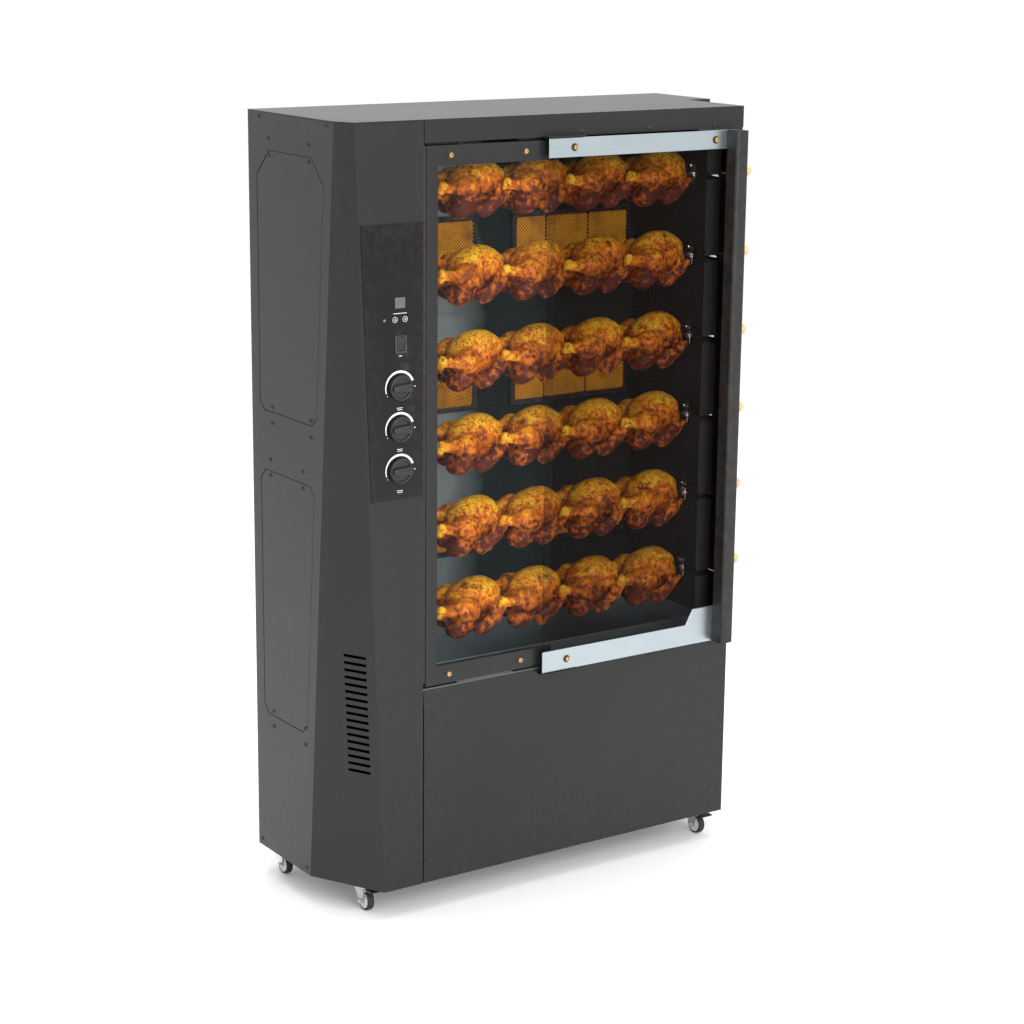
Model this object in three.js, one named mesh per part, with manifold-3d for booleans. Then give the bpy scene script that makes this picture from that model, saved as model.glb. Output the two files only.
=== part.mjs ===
// Floor-standing gas rotisserie oven: six driven spits behind two sliding glass doors, a control
// column on the left, and four casters. Millimetres, +Z up, the front faces -Y.
// Every piece is drawn in the casing's frame: x from the left side, y from the front sheet, z from
// the floor. The finished group is then moved so that the origin is under the middle of the whole.
import * as THREE from 'three';
import { mergeVertices } from 'three/addons/utils/BufferGeometryUtils.js';
import Module from 'manifold-3d';

const wasm = await Module();
wasm.setup();

// ---- Driving dimensions ----
const HEIGHT = 1850;
const FRONT_WIDTH = 1098;
const REAR_WIDTH = 1168;
const DEPTH = 438;
const SIDE_STEP_Y = 217;
const CASING_BOTTOM = 70;
const SHEET = 2;
const GAP = 0.3;

// Control column: its front left edge is one sloping flat, wide at the foot and narrow at the top.
const COLUMN_WIDTH = 200;
const BEVEL_FOOT = { side: 182, front: 95 };
const BEVEL_HEAD = { side: 46, front: 24 };

// Cooking chamber.
const CHAMBER_LEFT = 216;
const CHAMBER_RIGHT = 1060;
const CHAMBER_FLOOR = 556;
const CHAMBER_TOP = 1800;
const CHAMBER_BACK = 372;
const JAMB_FRONT = 36;

// Front sheets above and below the doors.
const FASCIA_BOTTOM = 1799;
const LOWER_PANEL_TOP = 545;
const GUIDE_LUG = { x: 520, length: 100, reach: 24, thickness: 2.5 };

// Spits.
const SPIT_COUNT = 6;
const SPIT_TOP_Z = 1682;
const SPIT_PITCH = 197;
const SPIT_Y = 110;
const SPIT_SLOT_HALF = 8;
const BALL_X = 1201;
const BALL_RADIUS = 14;
const BIRDS_PER_SPIT = 4;
const BIRD_PITCH = 174;
const FIRST_BIRD_X = 392;
const BIRD_RADIUS = 70;
const BIRD_WAIST = 46;
const BIRD_BORE = 8.6;

// Burners, three rows of two heads.
const BURNER_NAMES = ['top', 'middle', 'bottom'];
const BURNER_TOP_Z = 1525;
const BURNER_PITCH = 362;
const BURNER_HEADS = [{ x: 219 }, { x: 678 }];
const BURNER_HEAD = { width: 359, height: 116, front: 358, back: 405 };
const BURNER_FRAME = 12;

// Doors: the left one runs on the rear track, the right one on the front track.
const LEFT_DOOR = { x0: 209, x1: 560, z0: 552, z1: 1792, y: 2.6, rail: 45, stile: 30 };
const RIGHT_DOOR = { x0: 522, x1: 1071, z0: 537, z1: 1797, y: -18, topRail: 44, bottomRail: 52 };
const DOOR_SHEET = 3.4;
const GLASS = 4;
const HANDLE = { width: 37, reach: 40 };
const TRACK = { y0: 3, y1: 35, slots: [10, 22], slotWidth: 8 };

// Controls.
const CONTROL_X = 137;
const KNOB_NAMES = ['top', 'middle', 'bottom'];
const KNOB_Z = [1263, 1169, 1074];
const PANEL = { z0: 1008, z1: 1628, front: -1.5 };
const KEY_Z = 1416;
const KEY_X = { up: 125, down: 151 };
const ROCKER = { x: 139, z: 1361, width: 20, height: 34 };

// Casters.
const CASTERS = [
  { name: 'front_left', x: 94, y: 102, brake: true },
  { name: 'front_right', x: 1060, y: 72, brake: true },
  { name: 'rear_left', x: 42, y: 402, brake: false },
  { name: 'rear_right', x: 1060, y: 402, brake: false },
];
const WHEEL_RADIUS = 25;
const WHEEL_WIDTH = 18;
const CASTER_TRAIL = 20;

// Overall box, worked out from the pieces that stand proud of the casing.
const OVERALL_RIGHT = BALL_X + BALL_RADIUS;
const OVERALL_FRONT = RIGHT_DOOR.y - HANDLE.reach;
const GAS_INLET_END = DEPTH + 24;
const ORIGIN_X = OVERALL_RIGHT / 2;
const ORIGIN_Y = (OVERALL_FRONT + GAS_INLET_END) / 2;

// ---- Finishes ----
const finish = (color, roughness, metalness) =>
  new THREE.MeshStandardMaterial({ color, roughness, metalness });
const CASING_PAINT = finish(0x4b4b4b, 0.55, 0.3);
const CONTROL_BLACK = finish(0x2d2a29, 0.25, 0.1);
const STAINLESS = finish(0xb4bcc2, 0.32, 0.9);
const CHAMBER_STEEL = finish(0x6d7779, 0.4, 0.8);
const DARK_STEEL = finish(0x2b2523, 0.5, 0.6);
const CERAMIC = finish(0xd59a3c, 0.9, 0.0);
const TINTED_GLASS = finish(0x3a3230, 0.06, 0.0);
const BLACK_PLASTIC = finish(0x161616, 0.4, 0.0);
const BRASS = finish(0xb58a45, 0.35, 0.9);
const CHROME = finish(0xd8dadd, 0.12, 1.0);
const ROASTED_SKIN = finish(0xb5561a, 0.35, 0.0);
const ZINC = finish(0xc4c7c9, 0.3, 0.8);
const BLACK_RUBBER = finish(0x151515, 0.8, 0.0);

// ---- Shape helpers ----
const model = new THREE.Group();
const assembly = new THREE.Group();
assembly.position.set(-ORIGIN_X, -ORIGIN_Y, 0);
model.add(assembly);

function add(name, geometry, material) {
  const mesh = new THREE.Mesh(geometry, material);
  mesh.name = name;
  assembly.add(mesh);
}

function solid(geometry) {
  const bare = geometry.index ? geometry.clone() : geometry;
  bare.deleteAttribute('normal');
  bare.deleteAttribute('uv');
  const merged = mergeVertices(bare, 1e-4);
  const mesh = new wasm.Mesh({
    numProp: 3,
    vertProperties: new Float32Array(merged.attributes.position.array),
    triVerts: new Uint32Array(merged.index.array),
  });
  return new wasm.Manifold(mesh);
}

function toGeometry(manifold) {
  const mesh = manifold.getMesh();
  const geometry = new THREE.BufferGeometry();
  geometry.setAttribute('position', new THREE.BufferAttribute(new Float32Array(mesh.vertProperties), 3));
  geometry.setIndex(new THREE.BufferAttribute(new Uint32Array(mesh.triVerts), 1));
  return geometry;
}

// Joins the first list of geometries and cuts the second list from the result.
function shape(joined, cuts = []) {
  let result = solid(joined[0]);
  for (const piece of joined.slice(1)) result = result.add(solid(piece));
  for (const cut of cuts) result = result.subtract(solid(cut));
  return toGeometry(result);
}

const box = (x0, x1, y0, y1, z0, z1) => new THREE.BoxGeometry(x1 - x0, y1 - y0, z1 - z0)
  .translate((x0 + x1) / 2, (y0 + y1) / 2, (z0 + z1) / 2);

const rodX = (x0, x1, y, z, radius, sides = 12) => new THREE.CylinderGeometry(radius, radius, x1 - x0, sides)
  .rotateZ(Math.PI / 2).translate((x0 + x1) / 2, y, z);

const rodY = (x, y0, y1, z, radius, sides = 12) => new THREE.CylinderGeometry(radius, radius, y1 - y0, sides)
  .translate(x, (y0 + y1) / 2, z);

const rodZ = (x, y, z0, z1, radius, sides = 12) => new THREE.CylinderGeometry(radius, radius, z1 - z0, sides)
  .rotateX(Math.PI / 2).translate(x, y, (z0 + z1) / 2);

// A closed solid between two outlines with the same number of [x, y] points, one above the other.
function loft(lower, upper, z0, z1) {
  const count = lower.length;
  const positions = [];
  lower.forEach(([x, y]) => positions.push(x, y, z0));
  upper.forEach(([x, y]) => positions.push(x, y, z1));
  const caps = THREE.ShapeUtils.triangulateShape(lower.map(([x, y]) => new THREE.Vector2(x, y)), []);
  const index = [];
  for (const [a, b, c] of caps) {
    index.push(c, b, a);
    index.push(a + count, b + count, c + count);
  }
  for (let i = 0; i < count; i += 1) {
    const j = (i + 1) % count;
    index.push(i, j, j + count, i, j + count, i + count);
  }
  const geometry = new THREE.BufferGeometry();
  geometry.setAttribute('position', new THREE.Float32BufferAttribute(positions, 3));
  geometry.setIndex(index);
  return geometry;
}

const column = (outline, z0, z1) => loft(outline, outline, z0, z1);

// A plate in the x-z plane, from an outline of [x, z] points, between two y values.
function frontPlate(outline, y0, y1) {
  const plate = new THREE.Shape(outline.map(([x, z]) => new THREE.Vector2(x, z)));
  return new THREE.ExtrudeGeometry(plate, { depth: y1 - y0, bevelEnabled: false })
    .rotateX(Math.PI / 2).translate(0, y1, 0);
}

// A plate in the y-z plane, from an outline of [y, z] points, between two x values.
function sidePlate(outline, x0, x1) {
  const plate = new THREE.Shape(outline.map(([y, z]) => new THREE.Vector2(y, z)));
  return new THREE.ExtrudeGeometry(plate, { depth: x1 - x0, bevelEnabled: false })
    .rotateY(Math.PI / 2).rotateX(Math.PI / 2).translate(x0, 0, 0);
}

// Turned piece about an axis along X: profile points are [distance along X, radius].
const latheX = (profile, x, y, z, sides) => new THREE.LatheGeometry(
  profile.map(([along, radius]) => new THREE.Vector2(radius, along)), sides,
).rotateZ(-Math.PI / 2).translate(x, y, z);

// Turned piece about an axis along Y, profile points [distance along Y, radius].
const latheY = (profile, x, y, z, sides) => new THREE.LatheGeometry(
  profile.map(([along, radius]) => new THREE.Vector2(radius, along)), sides,
).translate(x, y, z);

const mix = (from, to, share) => from + (to - from) * share;
const heightShare = (z) => (z - CASING_BOTTOM) / (HEIGHT - CASING_BOTTOM);
const bevelSide = (z) => mix(BEVEL_FOOT.side, BEVEL_HEAD.side, heightShare(z));
const bevelFront = (z) => mix(BEVEL_FOOT.front, BEVEL_HEAD.front, heightShare(z));
const spitZ = (row) => SPIT_TOP_Z - row * SPIT_PITCH;
const burnerZ = (row) => BURNER_TOP_Z - row * BURNER_PITCH;
const spitRows = Array.from({ length: SPIT_COUNT }, (_, row) => row);

// ---- Casing ----
const BEVEL_ANGLE = Math.atan2(BEVEL_FOOT.side, BEVEL_FOOT.front);
const insetSide = (inset) => inset / Math.cos(BEVEL_ANGLE) - inset * Math.tan(BEVEL_ANGLE);
const insetFront = (inset) => inset / Math.sin(BEVEL_ANGLE) - inset / Math.tan(BEVEL_ANGLE);

// Casing outline at height z, moved inwards by inset, as [x, y] points. It starts at the back left.
function casingOutline(z, inset) {
  const right = FRONT_WIDTH - inset;
  const wide = REAR_WIDTH - inset;
  return [
    [inset, DEPTH - inset],
    [inset, bevelSide(z) + insetSide(inset)],
    [bevelFront(z) + insetFront(inset), inset],
    [right, inset],
    [right, SIDE_STEP_Y + inset],
    [wide, SIDE_STEP_Y + inset],
    [wide, DEPTH - inset],
  ];
}

const ROOF_PLATE = 3;
const SHELL_TOP = HEIGHT - ROOF_PLATE - GAP;
const PLATE_UNDER_BASE = 56;
const BASE_RIM_TOP = CASING_BOTTOM + 30;

// Cutter that ends a folded front flange above the rim of the base.
const flangeRelief = (x0, x1) => box(x0, x1, SHEET + 0.2, 40, CASING_BOTTOM - 1, BASE_RIM_TOP + 1);

function baseTray() {
  const inset = SHEET + 1;
  const rimTop = BASE_RIM_TOP;
  const outer = loft(casingOutline(CASING_BOTTOM, inset), casingOutline(rimTop, inset), CASING_BOTTOM, rimTop);
  const floorTop = CASING_BOTTOM + SHEET;
  const inner = loft(
    casingOutline(CASING_BOTTOM, inset + SHEET), casingOutline(rimTop, inset + SHEET), floorTop, rimTop + 1,
  );
  const half = PLATE_UNDER_BASE / 2;
  const plates = CASTERS.map(({ x, y }) => box(x - half, x + half, y - half, y + half, 67, floorTop));
  return shape([outer, ...plates], [inner]);
}

function doorTrack(z0, z1, slotZ0, slotZ1) {
  const cuts = TRACK.slots.map((y) => box(
    CHAMBER_LEFT - 20, CHAMBER_RIGHT + 10, y - TRACK.slotWidth / 2, y + TRACK.slotWidth / 2, slotZ0, slotZ1,
  ));
  return { body: box(205, CHAMBER_RIGHT + 2, TRACK.y0, TRACK.y1, z0, z1), cuts };
}

function guideLug(z0) {
  const { x, length, reach, thickness } = GUIDE_LUG;
  const corner = 8;
  const outline = [[x, 1], [x, -reach + corner], [x + corner, -reach], [x + length, -reach], [x + length, 1]];
  return column(outline, z0, z0 + thickness);
}

function roofCap() {
  const plate = column(casingOutline(HEIGHT, 0), HEIGHT - ROOF_PLATE, HEIGHT);
  const fascia = box(COLUMN_WIDTH + 2, FRONT_WIDTH, 0, SHEET, FASCIA_BOTTOM, HEIGHT - ROOF_PLATE + 1);
  const track = doorTrack(1802, HEIGHT - ROOF_PLATE + 1, 1790, 1826);
  const web = box(205, CHAMBER_RIGHT + 2, 1, TRACK.y0 + 1, 1828, HEIGHT - ROOF_PLATE + 1);
  return shape([plate, fascia, track.body, web, guideLug(FASCIA_BOTTOM)], track.cuts);
}

// Outline of a side access panel: its front edge follows the sloping bevel of the column.
function accessOutline(z0, z1, topCut, footCut, inset) {
  const rear = DEPTH - 40 - inset;
  const front = (z) => bevelSide(z) + 34 + inset;
  const [bottom, top] = [z0 + inset, z1 - inset];
  return [
    [front(bottom + footCut), bottom + footCut], [front(bottom) + footCut, bottom],
    [rear - footCut, bottom], [rear, bottom + footCut],
    [rear, top - topCut], [rear - topCut, top],
    [front(top) + topCut, top], [front(top - topCut), top - topCut],
  ];
}
const ACCESS_PANELS = {
  upper_access_panel: { z0: 1162, z1: 1765, topCut: 58, footCut: 20 },
  lower_access_panel: { z0: 420, z1: 1022, topCut: 22, footCut: 20 },
};
const SEAM = 1.5;

const VENT = { count: 17, topZ: 640, pitch: 17.4, length: 60, height: 7, edge: 25 };

// Cutter for one cooling slot in the sloping flat of the column.
function ventCutter(z) {
  const along = VENT.edge + VENT.length / 2;
  const x = bevelFront(z) - along * Math.cos(BEVEL_ANGLE);
  const y = along * Math.sin(BEVEL_ANGLE);
  return new THREE.BoxGeometry(VENT.length, 20, VENT.height).rotateZ(-BEVEL_ANGLE).translate(x, y, z);
}

const vents = Array.from({ length: VENT.count }, (_, i) => VENT.topZ - i * VENT.pitch);

function columnShell() {
  const returnDepth = 26;
  const strip = (z) => {
    const inner = casingOutline(z, SHEET);
    return [
      [0, DEPTH - SHEET - 1], [0, bevelSide(z)], [bevelFront(z), 0], [COLUMN_WIDTH, 0], [COLUMN_WIDTH, returnDepth],
      [COLUMN_WIDTH - SHEET, returnDepth], [COLUMN_WIDTH - SHEET, SHEET], inner[2], inner[1],
      [SHEET, DEPTH - SHEET - 1],
    ];
  };
  const shell = loft(strip(CASING_BOTTOM), strip(SHELL_TOP), CASING_BOTTOM, SHELL_TOP);
  const cuts = [
    ...Object.values(ACCESS_PANELS).map((p) => sidePlate(
      accessOutline(p.z0, p.z1, p.topCut, p.footCut, 0), -5, 8,
    )),
    ...vents.map(ventCutter),
    ...KNOB_Z.map((z) => rodY(CONTROL_X, -5, 8, z, 7, 12)),
    box(ROCKER.x - 12, ROCKER.x + 12, -5, 8, ROCKER.z - 19, ROCKER.z + 19),
    ...Object.values(KEY_X).map((x) => rodY(x, -5, 8, KEY_Z, 5, 12)),
    flangeRelief(COLUMN_WIDTH - SHEET - 1, COLUMN_WIDTH + 1),
  ];
  return shape([shell], cuts);
}

function accessPanel({ z0, z1, topCut, footCut }) {
  const flange = 10;
  const face = sidePlate(accessOutline(z0, z1, topCut, footCut, SEAM), 0.2, SHEET + 1.5);
  const back = sidePlate(accessOutline(z0, z1, topCut, footCut, -flange), SHEET + GAP, SHEET + 1.8);
  return shape([face, back]);
}

function lowerFrontPanel() {
  const sheet = box(COLUMN_WIDTH + 3, FRONT_WIDTH, 0, SHEET, CASING_BOTTOM, LOWER_PANEL_TOP);
  const lug = guideLug(RIGHT_DOOR.z0 - GUIDE_LUG.thickness - 1);
  return shape([sheet, lug]);
}

// Cutters that open every spit's path from the front edge of a sheet back to the spit's seat.
const spitSlots = (x0, x1, y0) => spitRows.flatMap((row) => [
  box(x0, x1, y0, SPIT_Y, spitZ(row) - SPIT_SLOT_HALF, spitZ(row) + SPIT_SLOT_HALF),
  rodX(x0, x1, SPIT_Y, spitZ(row), SPIT_SLOT_HALF),
]);

function rightSidePanel() {
  const front = SHEET + GAP;
  const [right, wide, back] = [FRONT_WIDTH, REAR_WIDTH, DEPTH - SHEET - 1];
  const strip = [
    [CHAMBER_RIGHT + 4, front], [right, front], [right, SIDE_STEP_Y], [wide, SIDE_STEP_Y], [wide, back],
    [wide - SHEET, back], [wide - SHEET, SIDE_STEP_Y + SHEET], [right - SHEET, SIDE_STEP_Y + SHEET],
    [right - SHEET, front + SHEET], [CHAMBER_RIGHT + 4, front + SHEET],
  ];
  const relief = flangeRelief(CHAMBER_RIGHT, right - SHEET);
  return shape(
    [column(strip, CASING_BOTTOM, SHELL_TOP)], [...spitSlots(CHAMBER_RIGHT + 2.5, right + 5, -5), relief],
  );
}

const EXHAUST = { rows: 2, columns: 10, x0: 420, pitch: 36, width: 8, height: 60, topZ: 1760, rowPitch: 84 };

function backPanel() {
  const sheet = box(GAP, REAR_WIDTH - GAP, DEPTH - SHEET, DEPTH, CASING_BOTTOM, SHELL_TOP);
  const cuts = [rodY(110, DEPTH - 10, DEPTH + 5, 140, 13)];
  for (let row = 0; row < EXHAUST.rows; row += 1) {
    for (let i = 0; i < EXHAUST.columns; i += 1) {
      const x = EXHAUST.x0 + i * EXHAUST.pitch;
      const z = EXHAUST.topZ - row * EXHAUST.rowPitch;
      cuts.push(box(x, x + EXHAUST.width, DEPTH - 10, DEPTH + 5, z - EXHAUST.height, z));
    }
  }
  return shape([sheet], cuts);
}

// ---- Cooking chamber ----
const TRACK_BOTTOM = 505;
const LINER_TOP = CHAMBER_TOP - 1;

function leftWall() {
  const wall = box(CHAMBER_LEFT - SHEET, CHAMBER_LEFT, 28, 397, TRACK_BOTTOM + 45, LINER_TOP);
  const jamb = box(COLUMN_WIDTH + 2.5, CHAMBER_LEFT, 28, 28 + SHEET, TRACK_BOTTOM + 45, LINER_TOP);
  const collars = spitRows.map((row) => rodX(CHAMBER_LEFT - 9, CHAMBER_LEFT - 1, SPIT_Y, spitZ(row), 22, 10));
  const bores = spitRows.map((row) => rodX(CHAMBER_LEFT - 20, CHAMBER_LEFT + 5, SPIT_Y, spitZ(row), 13, 10));
  return shape([wall, jamb, ...collars], bores);
}

function rightWall() {
  const [bottom, jambReach] = [TRACK_BOTTOM + 45, 40];
  const wall = box(CHAMBER_RIGHT, CHAMBER_RIGHT + SHEET, JAMB_FRONT, 397, bottom, LINER_TOP);
  const jamb = box(
    CHAMBER_RIGHT - jambReach, CHAMBER_RIGHT + SHEET, JAMB_FRONT, JAMB_FRONT + SHEET, bottom, LINER_TOP,
  );
  return shape([wall, jamb], spitSlots(CHAMBER_RIGHT - jambReach - 5, CHAMBER_RIGHT + 10, 20));
}

function chamberLiner() {
  const [x0, x1] = [CHAMBER_LEFT + 1, CHAMBER_RIGHT - 1];
  const back = box(x0, x1, CHAMBER_BACK, CHAMBER_BACK + SHEET, CHAMBER_FLOOR, CHAMBER_TOP + SHEET);
  const ceiling = box(x0, x1, TRACK.y1 + 3, CHAMBER_BACK + SHEET, CHAMBER_TOP, CHAMBER_TOP + SHEET);
  const { width, height } = BURNER_HEAD;
  const cuts = BURNER_NAMES.flatMap((_, row) => BURNER_HEADS.map(({ x }) => box(
    x + 6, x + width - 6, CHAMBER_BACK - 5, CHAMBER_BACK + 10,
    burnerZ(row) - height / 2 + 6, burnerZ(row) + height / 2 - 6,
  )));
  return shape([back, ceiling], cuts);
}

function lowerTrack() {
  const track = doorTrack(TRACK_BOTTOM, 543, 520, 550);
  const shelf = box(
    CHAMBER_LEFT + 1, CHAMBER_RIGHT - 1, TRACK.y1 - 1, CHAMBER_BACK - 2, TRACK_BOTTOM + 30, TRACK_BOTTOM + 32,
  );
  return shape([track.body, shelf], track.cuts);
}

const TRAY = { x0: 222, x1: 1054, y0: 42, y1: 366, z0: 537.5, z1: 590, wall: 1.5 };

function dripTray() {
  const { x0, x1, y0, y1, z0, z1, wall } = TRAY;
  const body = box(x0, x1, y0, y1, z0, z1);
  const hollow = box(x0 + wall, x1 - wall, y0 + wall, y1 - wall, z0 + wall, z1 + 1);
  return shape([body], [hollow]);
}

add('base_tray', baseTray(), CASING_PAINT);
add('roof_cap', roofCap(), CASING_PAINT);
add('column_shell', columnShell(), CASING_PAINT);
for (const [name, sizes] of Object.entries(ACCESS_PANELS)) add(name, accessPanel(sizes), CASING_PAINT);
add('lower_front_panel', lowerFrontPanel(), CASING_PAINT);
add('right_side_panel', rightSidePanel(), CASING_PAINT);
add('back_panel', backPanel(), CASING_PAINT);
add('chamber_left_wall', leftWall(), CHAMBER_STEEL);
add('chamber_right_wall', rightWall(), CHAMBER_STEEL);
add('chamber_liner', chamberLiner(), CHAMBER_STEEL);
add('lower_door_track', lowerTrack(), CHAMBER_STEEL);
add('drip_tray', dripTray(), STAINLESS);

// ---- Gas burners ----
// Each row is one brazed unit: two ceramic heads, the crossover pipe and the feed pipe to its valve.
const FEED_RADIUS = 5;
const PIPE_Y = 412;
const VALVE_BACK = 75;

function burnerHead(x, z) {
  const { width, height, front, back } = BURNER_HEAD;
  const [x1, z0, z1] = [x + width, z - height / 2, z + height / 2];
  const flange = box(x, x1, front, CHAMBER_BACK - GAP, z0, z1);
  const body = box(x + 8, x1 - 8, CHAMBER_BACK - 1, back, z0 + 8, z1 - 8);
  const recess = box(
    x + BURNER_FRAME, x1 - BURNER_FRAME, front - 1, front + 3, z0 + BURNER_FRAME, z1 - BURNER_FRAME,
  );
  return { joined: [flange, body], recess };
}

function feedPipe(valveZ, z) {
  const route = new THREE.CatmullRomCurve3([
    [VALVE_BACK + 0.6, valveZ], [150, valveZ], [210, mix(valveZ, z, 0.12)], [270, mix(valveZ, z, 0.88)],
    [330, z], [385, z],
  ].map(([y, height]) => new THREE.Vector3(CONTROL_X, y, height)));
  const circle = new THREE.Shape(Array.from({ length: 8 }, (_, i) => new THREE.Vector2(
    FEED_RADIUS * Math.cos(i * Math.PI / 4), FEED_RADIUS * Math.sin(i * Math.PI / 4),
  )));
  return new THREE.ExtrudeGeometry(circle, { steps: 18, bevelEnabled: false, extrudePath: route });
}

function burnerRow(row) {
  const z = burnerZ(row);
  const heads = BURNER_HEADS.map(({ x }) => burnerHead(x, z));
  const crossover = rodX(CONTROL_X, BURNER_HEADS[1].x + 60, PIPE_Y, z, 9);
  const elbow = rodY(CONTROL_X, 383, PIPE_Y + 8, z, 8);
  return shape(
    [...heads.flatMap((head) => head.joined), crossover, elbow, feedPipe(KNOB_Z[row], z)],
    heads.map((head) => head.recess),
  );
}

const MANIFOLD = { x: 110, y: 62, z: 140, radius: 10 };

function gasManifold() {
  const { x, y, z, radius } = MANIFOLD;
  const riser = rodZ(x, y, z - radius, KNOB_Z[0] + 30, radius);
  const inlet = rodY(x, y, GAS_INLET_END, z, radius);
  const nut = rodY(x, DEPTH + 4, DEPTH + 16, z, 14, 6);
  const valves = KNOB_Z.flatMap((valveZ) => [
    box(x, CONTROL_X + 14, 16, VALVE_BACK, valveZ - 16, valveZ + 16),
    rodY(CONTROL_X, -2, 18, valveZ, 4, 12),
  ]);
  return shape([riser, inlet, nut, ...valves]);
}

BURNER_NAMES.forEach((name, row) => add(`burner_row_${name}`, burnerRow(row), CERAMIC));
add('gas_manifold', gasManifold(), BRASS);

// ---- Spit drive ----
const SPROCKET = { x: 181, width: 4, radius: 30, hub: 12 };
const CHAIN = { clearance: 0.6, thickness: 6, width: 6 };
const SOCKET_END = CHAMBER_LEFT + 18;

function spitDrive(row) {
  const z = spitZ(row);
  const hub = rodX(SPROCKET.x - 9, SOCKET_END, SPIT_Y, z, SPROCKET.hub);
  const half = SPROCKET.width / 2;
  const disc = rodX(SPROCKET.x - half, SPROCKET.x + half, SPIT_Y, z, SPROCKET.radius, 20);
  const bore = rodX(SOCKET_END - 24, SOCKET_END + 2, SPIT_Y, z, 7.8, 10);
  return shape([hub, disc], [bore]);
}

// Racetrack solid about the spit line, between the top and the bottom spit.
function racetrack(radius, x0, x1) {
  const outline = new THREE.Shape();
  outline.absarc(SPIT_Y, spitZ(0), radius, 0, Math.PI, false);
  outline.absarc(SPIT_Y, spitZ(SPIT_COUNT - 1), radius, Math.PI, 2 * Math.PI, false);
  return new THREE.ExtrudeGeometry(outline, { depth: x1 - x0, bevelEnabled: false, curveSegments: 8 })
    .rotateY(Math.PI / 2).rotateX(Math.PI / 2).translate(x0, 0, 0);
}

function driveChain() {
  const inner = SPROCKET.radius + CHAIN.clearance;
  const [x0, x1] = [SPROCKET.x - CHAIN.width / 2, SPROCKET.x + CHAIN.width / 2];
  return shape([racetrack(inner + CHAIN.thickness, x0, x1)], [racetrack(inner, x0 - 1, x1 + 1)]);
}

function gearMotor() {
  const z = spitZ(SPIT_COUNT - 1);
  const gearbox = box(98, 164, 75, 150, z - 42, z + 42);
  const motor = rodY(130, 149, 262, z, 34, 20);
  const shaft = rodX(163, SPROCKET.x - 9 - GAP, SPIT_Y, z, 7);
  const bracket = box(98, CHAMBER_LEFT - SHEET - GAP, 75, 150, z - 46, z - 41);
  return shape([gearbox, motor, shaft, bracket]);
}

add('gear_motor', gearMotor(), DARK_STEEL);
add('drive_chain', driveChain(), DARK_STEEL);

// ---- Spits with their forks, handle balls and birds ----
const ROD_HALF = 5;
const ROD_START = CHAMBER_LEFT - 4;
const JOURNAL_START = 1046;
const COLLAR_X = 1116;
const ballProfile = [-60, -30, 0, 30, 60].map((degrees) => [
  BALL_X - COLLAR_X + 1 + BALL_RADIUS * Math.sin(degrees * Math.PI / 180),
  BALL_RADIUS * Math.cos(degrees * Math.PI / 180),
]);
const BIRDS_START = FIRST_BIRD_X - 105;
const BIRDS_END = FIRST_BIRD_X + (BIRDS_PER_SPIT - 1) * BIRD_PITCH + 112;

function fork(x, direction, z) {
  const prong = (side) => box(
    Math.min(x, x + direction * 14), Math.max(x, x + direction * 14),
    SPIT_Y + side - 2, SPIT_Y + side + 2, z - 2, z + 2,
  );
  return [
    rodX(x - 5, x + 5, SPIT_Y, z, 12, 8),
    box(x - 2, x + 2, SPIT_Y - 30, SPIT_Y + 30, z - 3, z + 3),
    prong(-28), prong(28),
    rodZ(x, SPIT_Y, z + 8, z + 24, 3, 4),
  ];
}

function spit(row) {
  const z = spitZ(row);
  const rod = box(ROD_START, JOURNAL_START, SPIT_Y - ROD_HALF, SPIT_Y + ROD_HALF, z - ROD_HALF, z + ROD_HALF);
  const journal = rodX(JOURNAL_START - 1, COLLAR_X, SPIT_Y, z, 6);
  const handle = latheX([
    [0, 0], [0, 9], [5, 9], [6, 4.6], [BALL_X - COLLAR_X - 13, 4.6],
    ...ballProfile, [BALL_X - COLLAR_X + 1 + BALL_RADIUS, 0],
  ], COLLAR_X - 1, SPIT_Y, z, 8);
  return shape([
    rod, journal, handle, ...fork(BIRDS_START - 22, 1, z), ...fork(BIRDS_END + 12, -1, z),
  ]);
}

function birdRow(row) {
  const steps = BIRDS_PER_SPIT * 4;
  const wave = (x) => mix(BIRD_WAIST, BIRD_RADIUS, 0.5 + 0.5 * Math.cos(
    (2 * Math.PI * (x - FIRST_BIRD_X)) / BIRD_PITCH,
  ));
  const profile = [[BIRDS_START, BIRD_BORE], [BIRDS_START, 24]];
  for (let i = 1; i < steps; i += 1) {
    const x = mix(BIRDS_START, BIRDS_END, i / steps);
    profile.push([x, wave(x)]);
  }
  profile.push([BIRDS_END, 24], [BIRDS_END, BIRD_BORE], [BIRDS_START, BIRD_BORE]);
  return latheX(profile, 0, SPIT_Y, spitZ(row), 8);
}

for (const row of spitRows) {
  add(`spit_${row + 1}`, spit(row), CHROME);
  add(`spit_drive_${row + 1}`, spitDrive(row), DARK_STEEL);
  add(`chicken_row_${row + 1}`, shape([birdRow(row)]), ROASTED_SKIN);
}

// ---- Sliding doors ----
const HANGER = { length: 90, top: 1820, drop: 526, plate: 2 };

// A hanger strip that leads from a door's rail to its track slot, at the top or the bottom.
function hanger(x, railY, slotY, lipZ, hookEnd) {
  const half = HANGER.plate;
  const [z0, z1] = [Math.min(lipZ, hookEnd), Math.max(lipZ, hookEnd)];
  return [
    box(x, x + HANGER.length, railY, slotY + half, lipZ - half / 2, lipZ + half / 2),
    box(x, x + HANGER.length, slotY - half, slotY + half, z0 - half / 2, z1 + half / 2),
  ];
}

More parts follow.
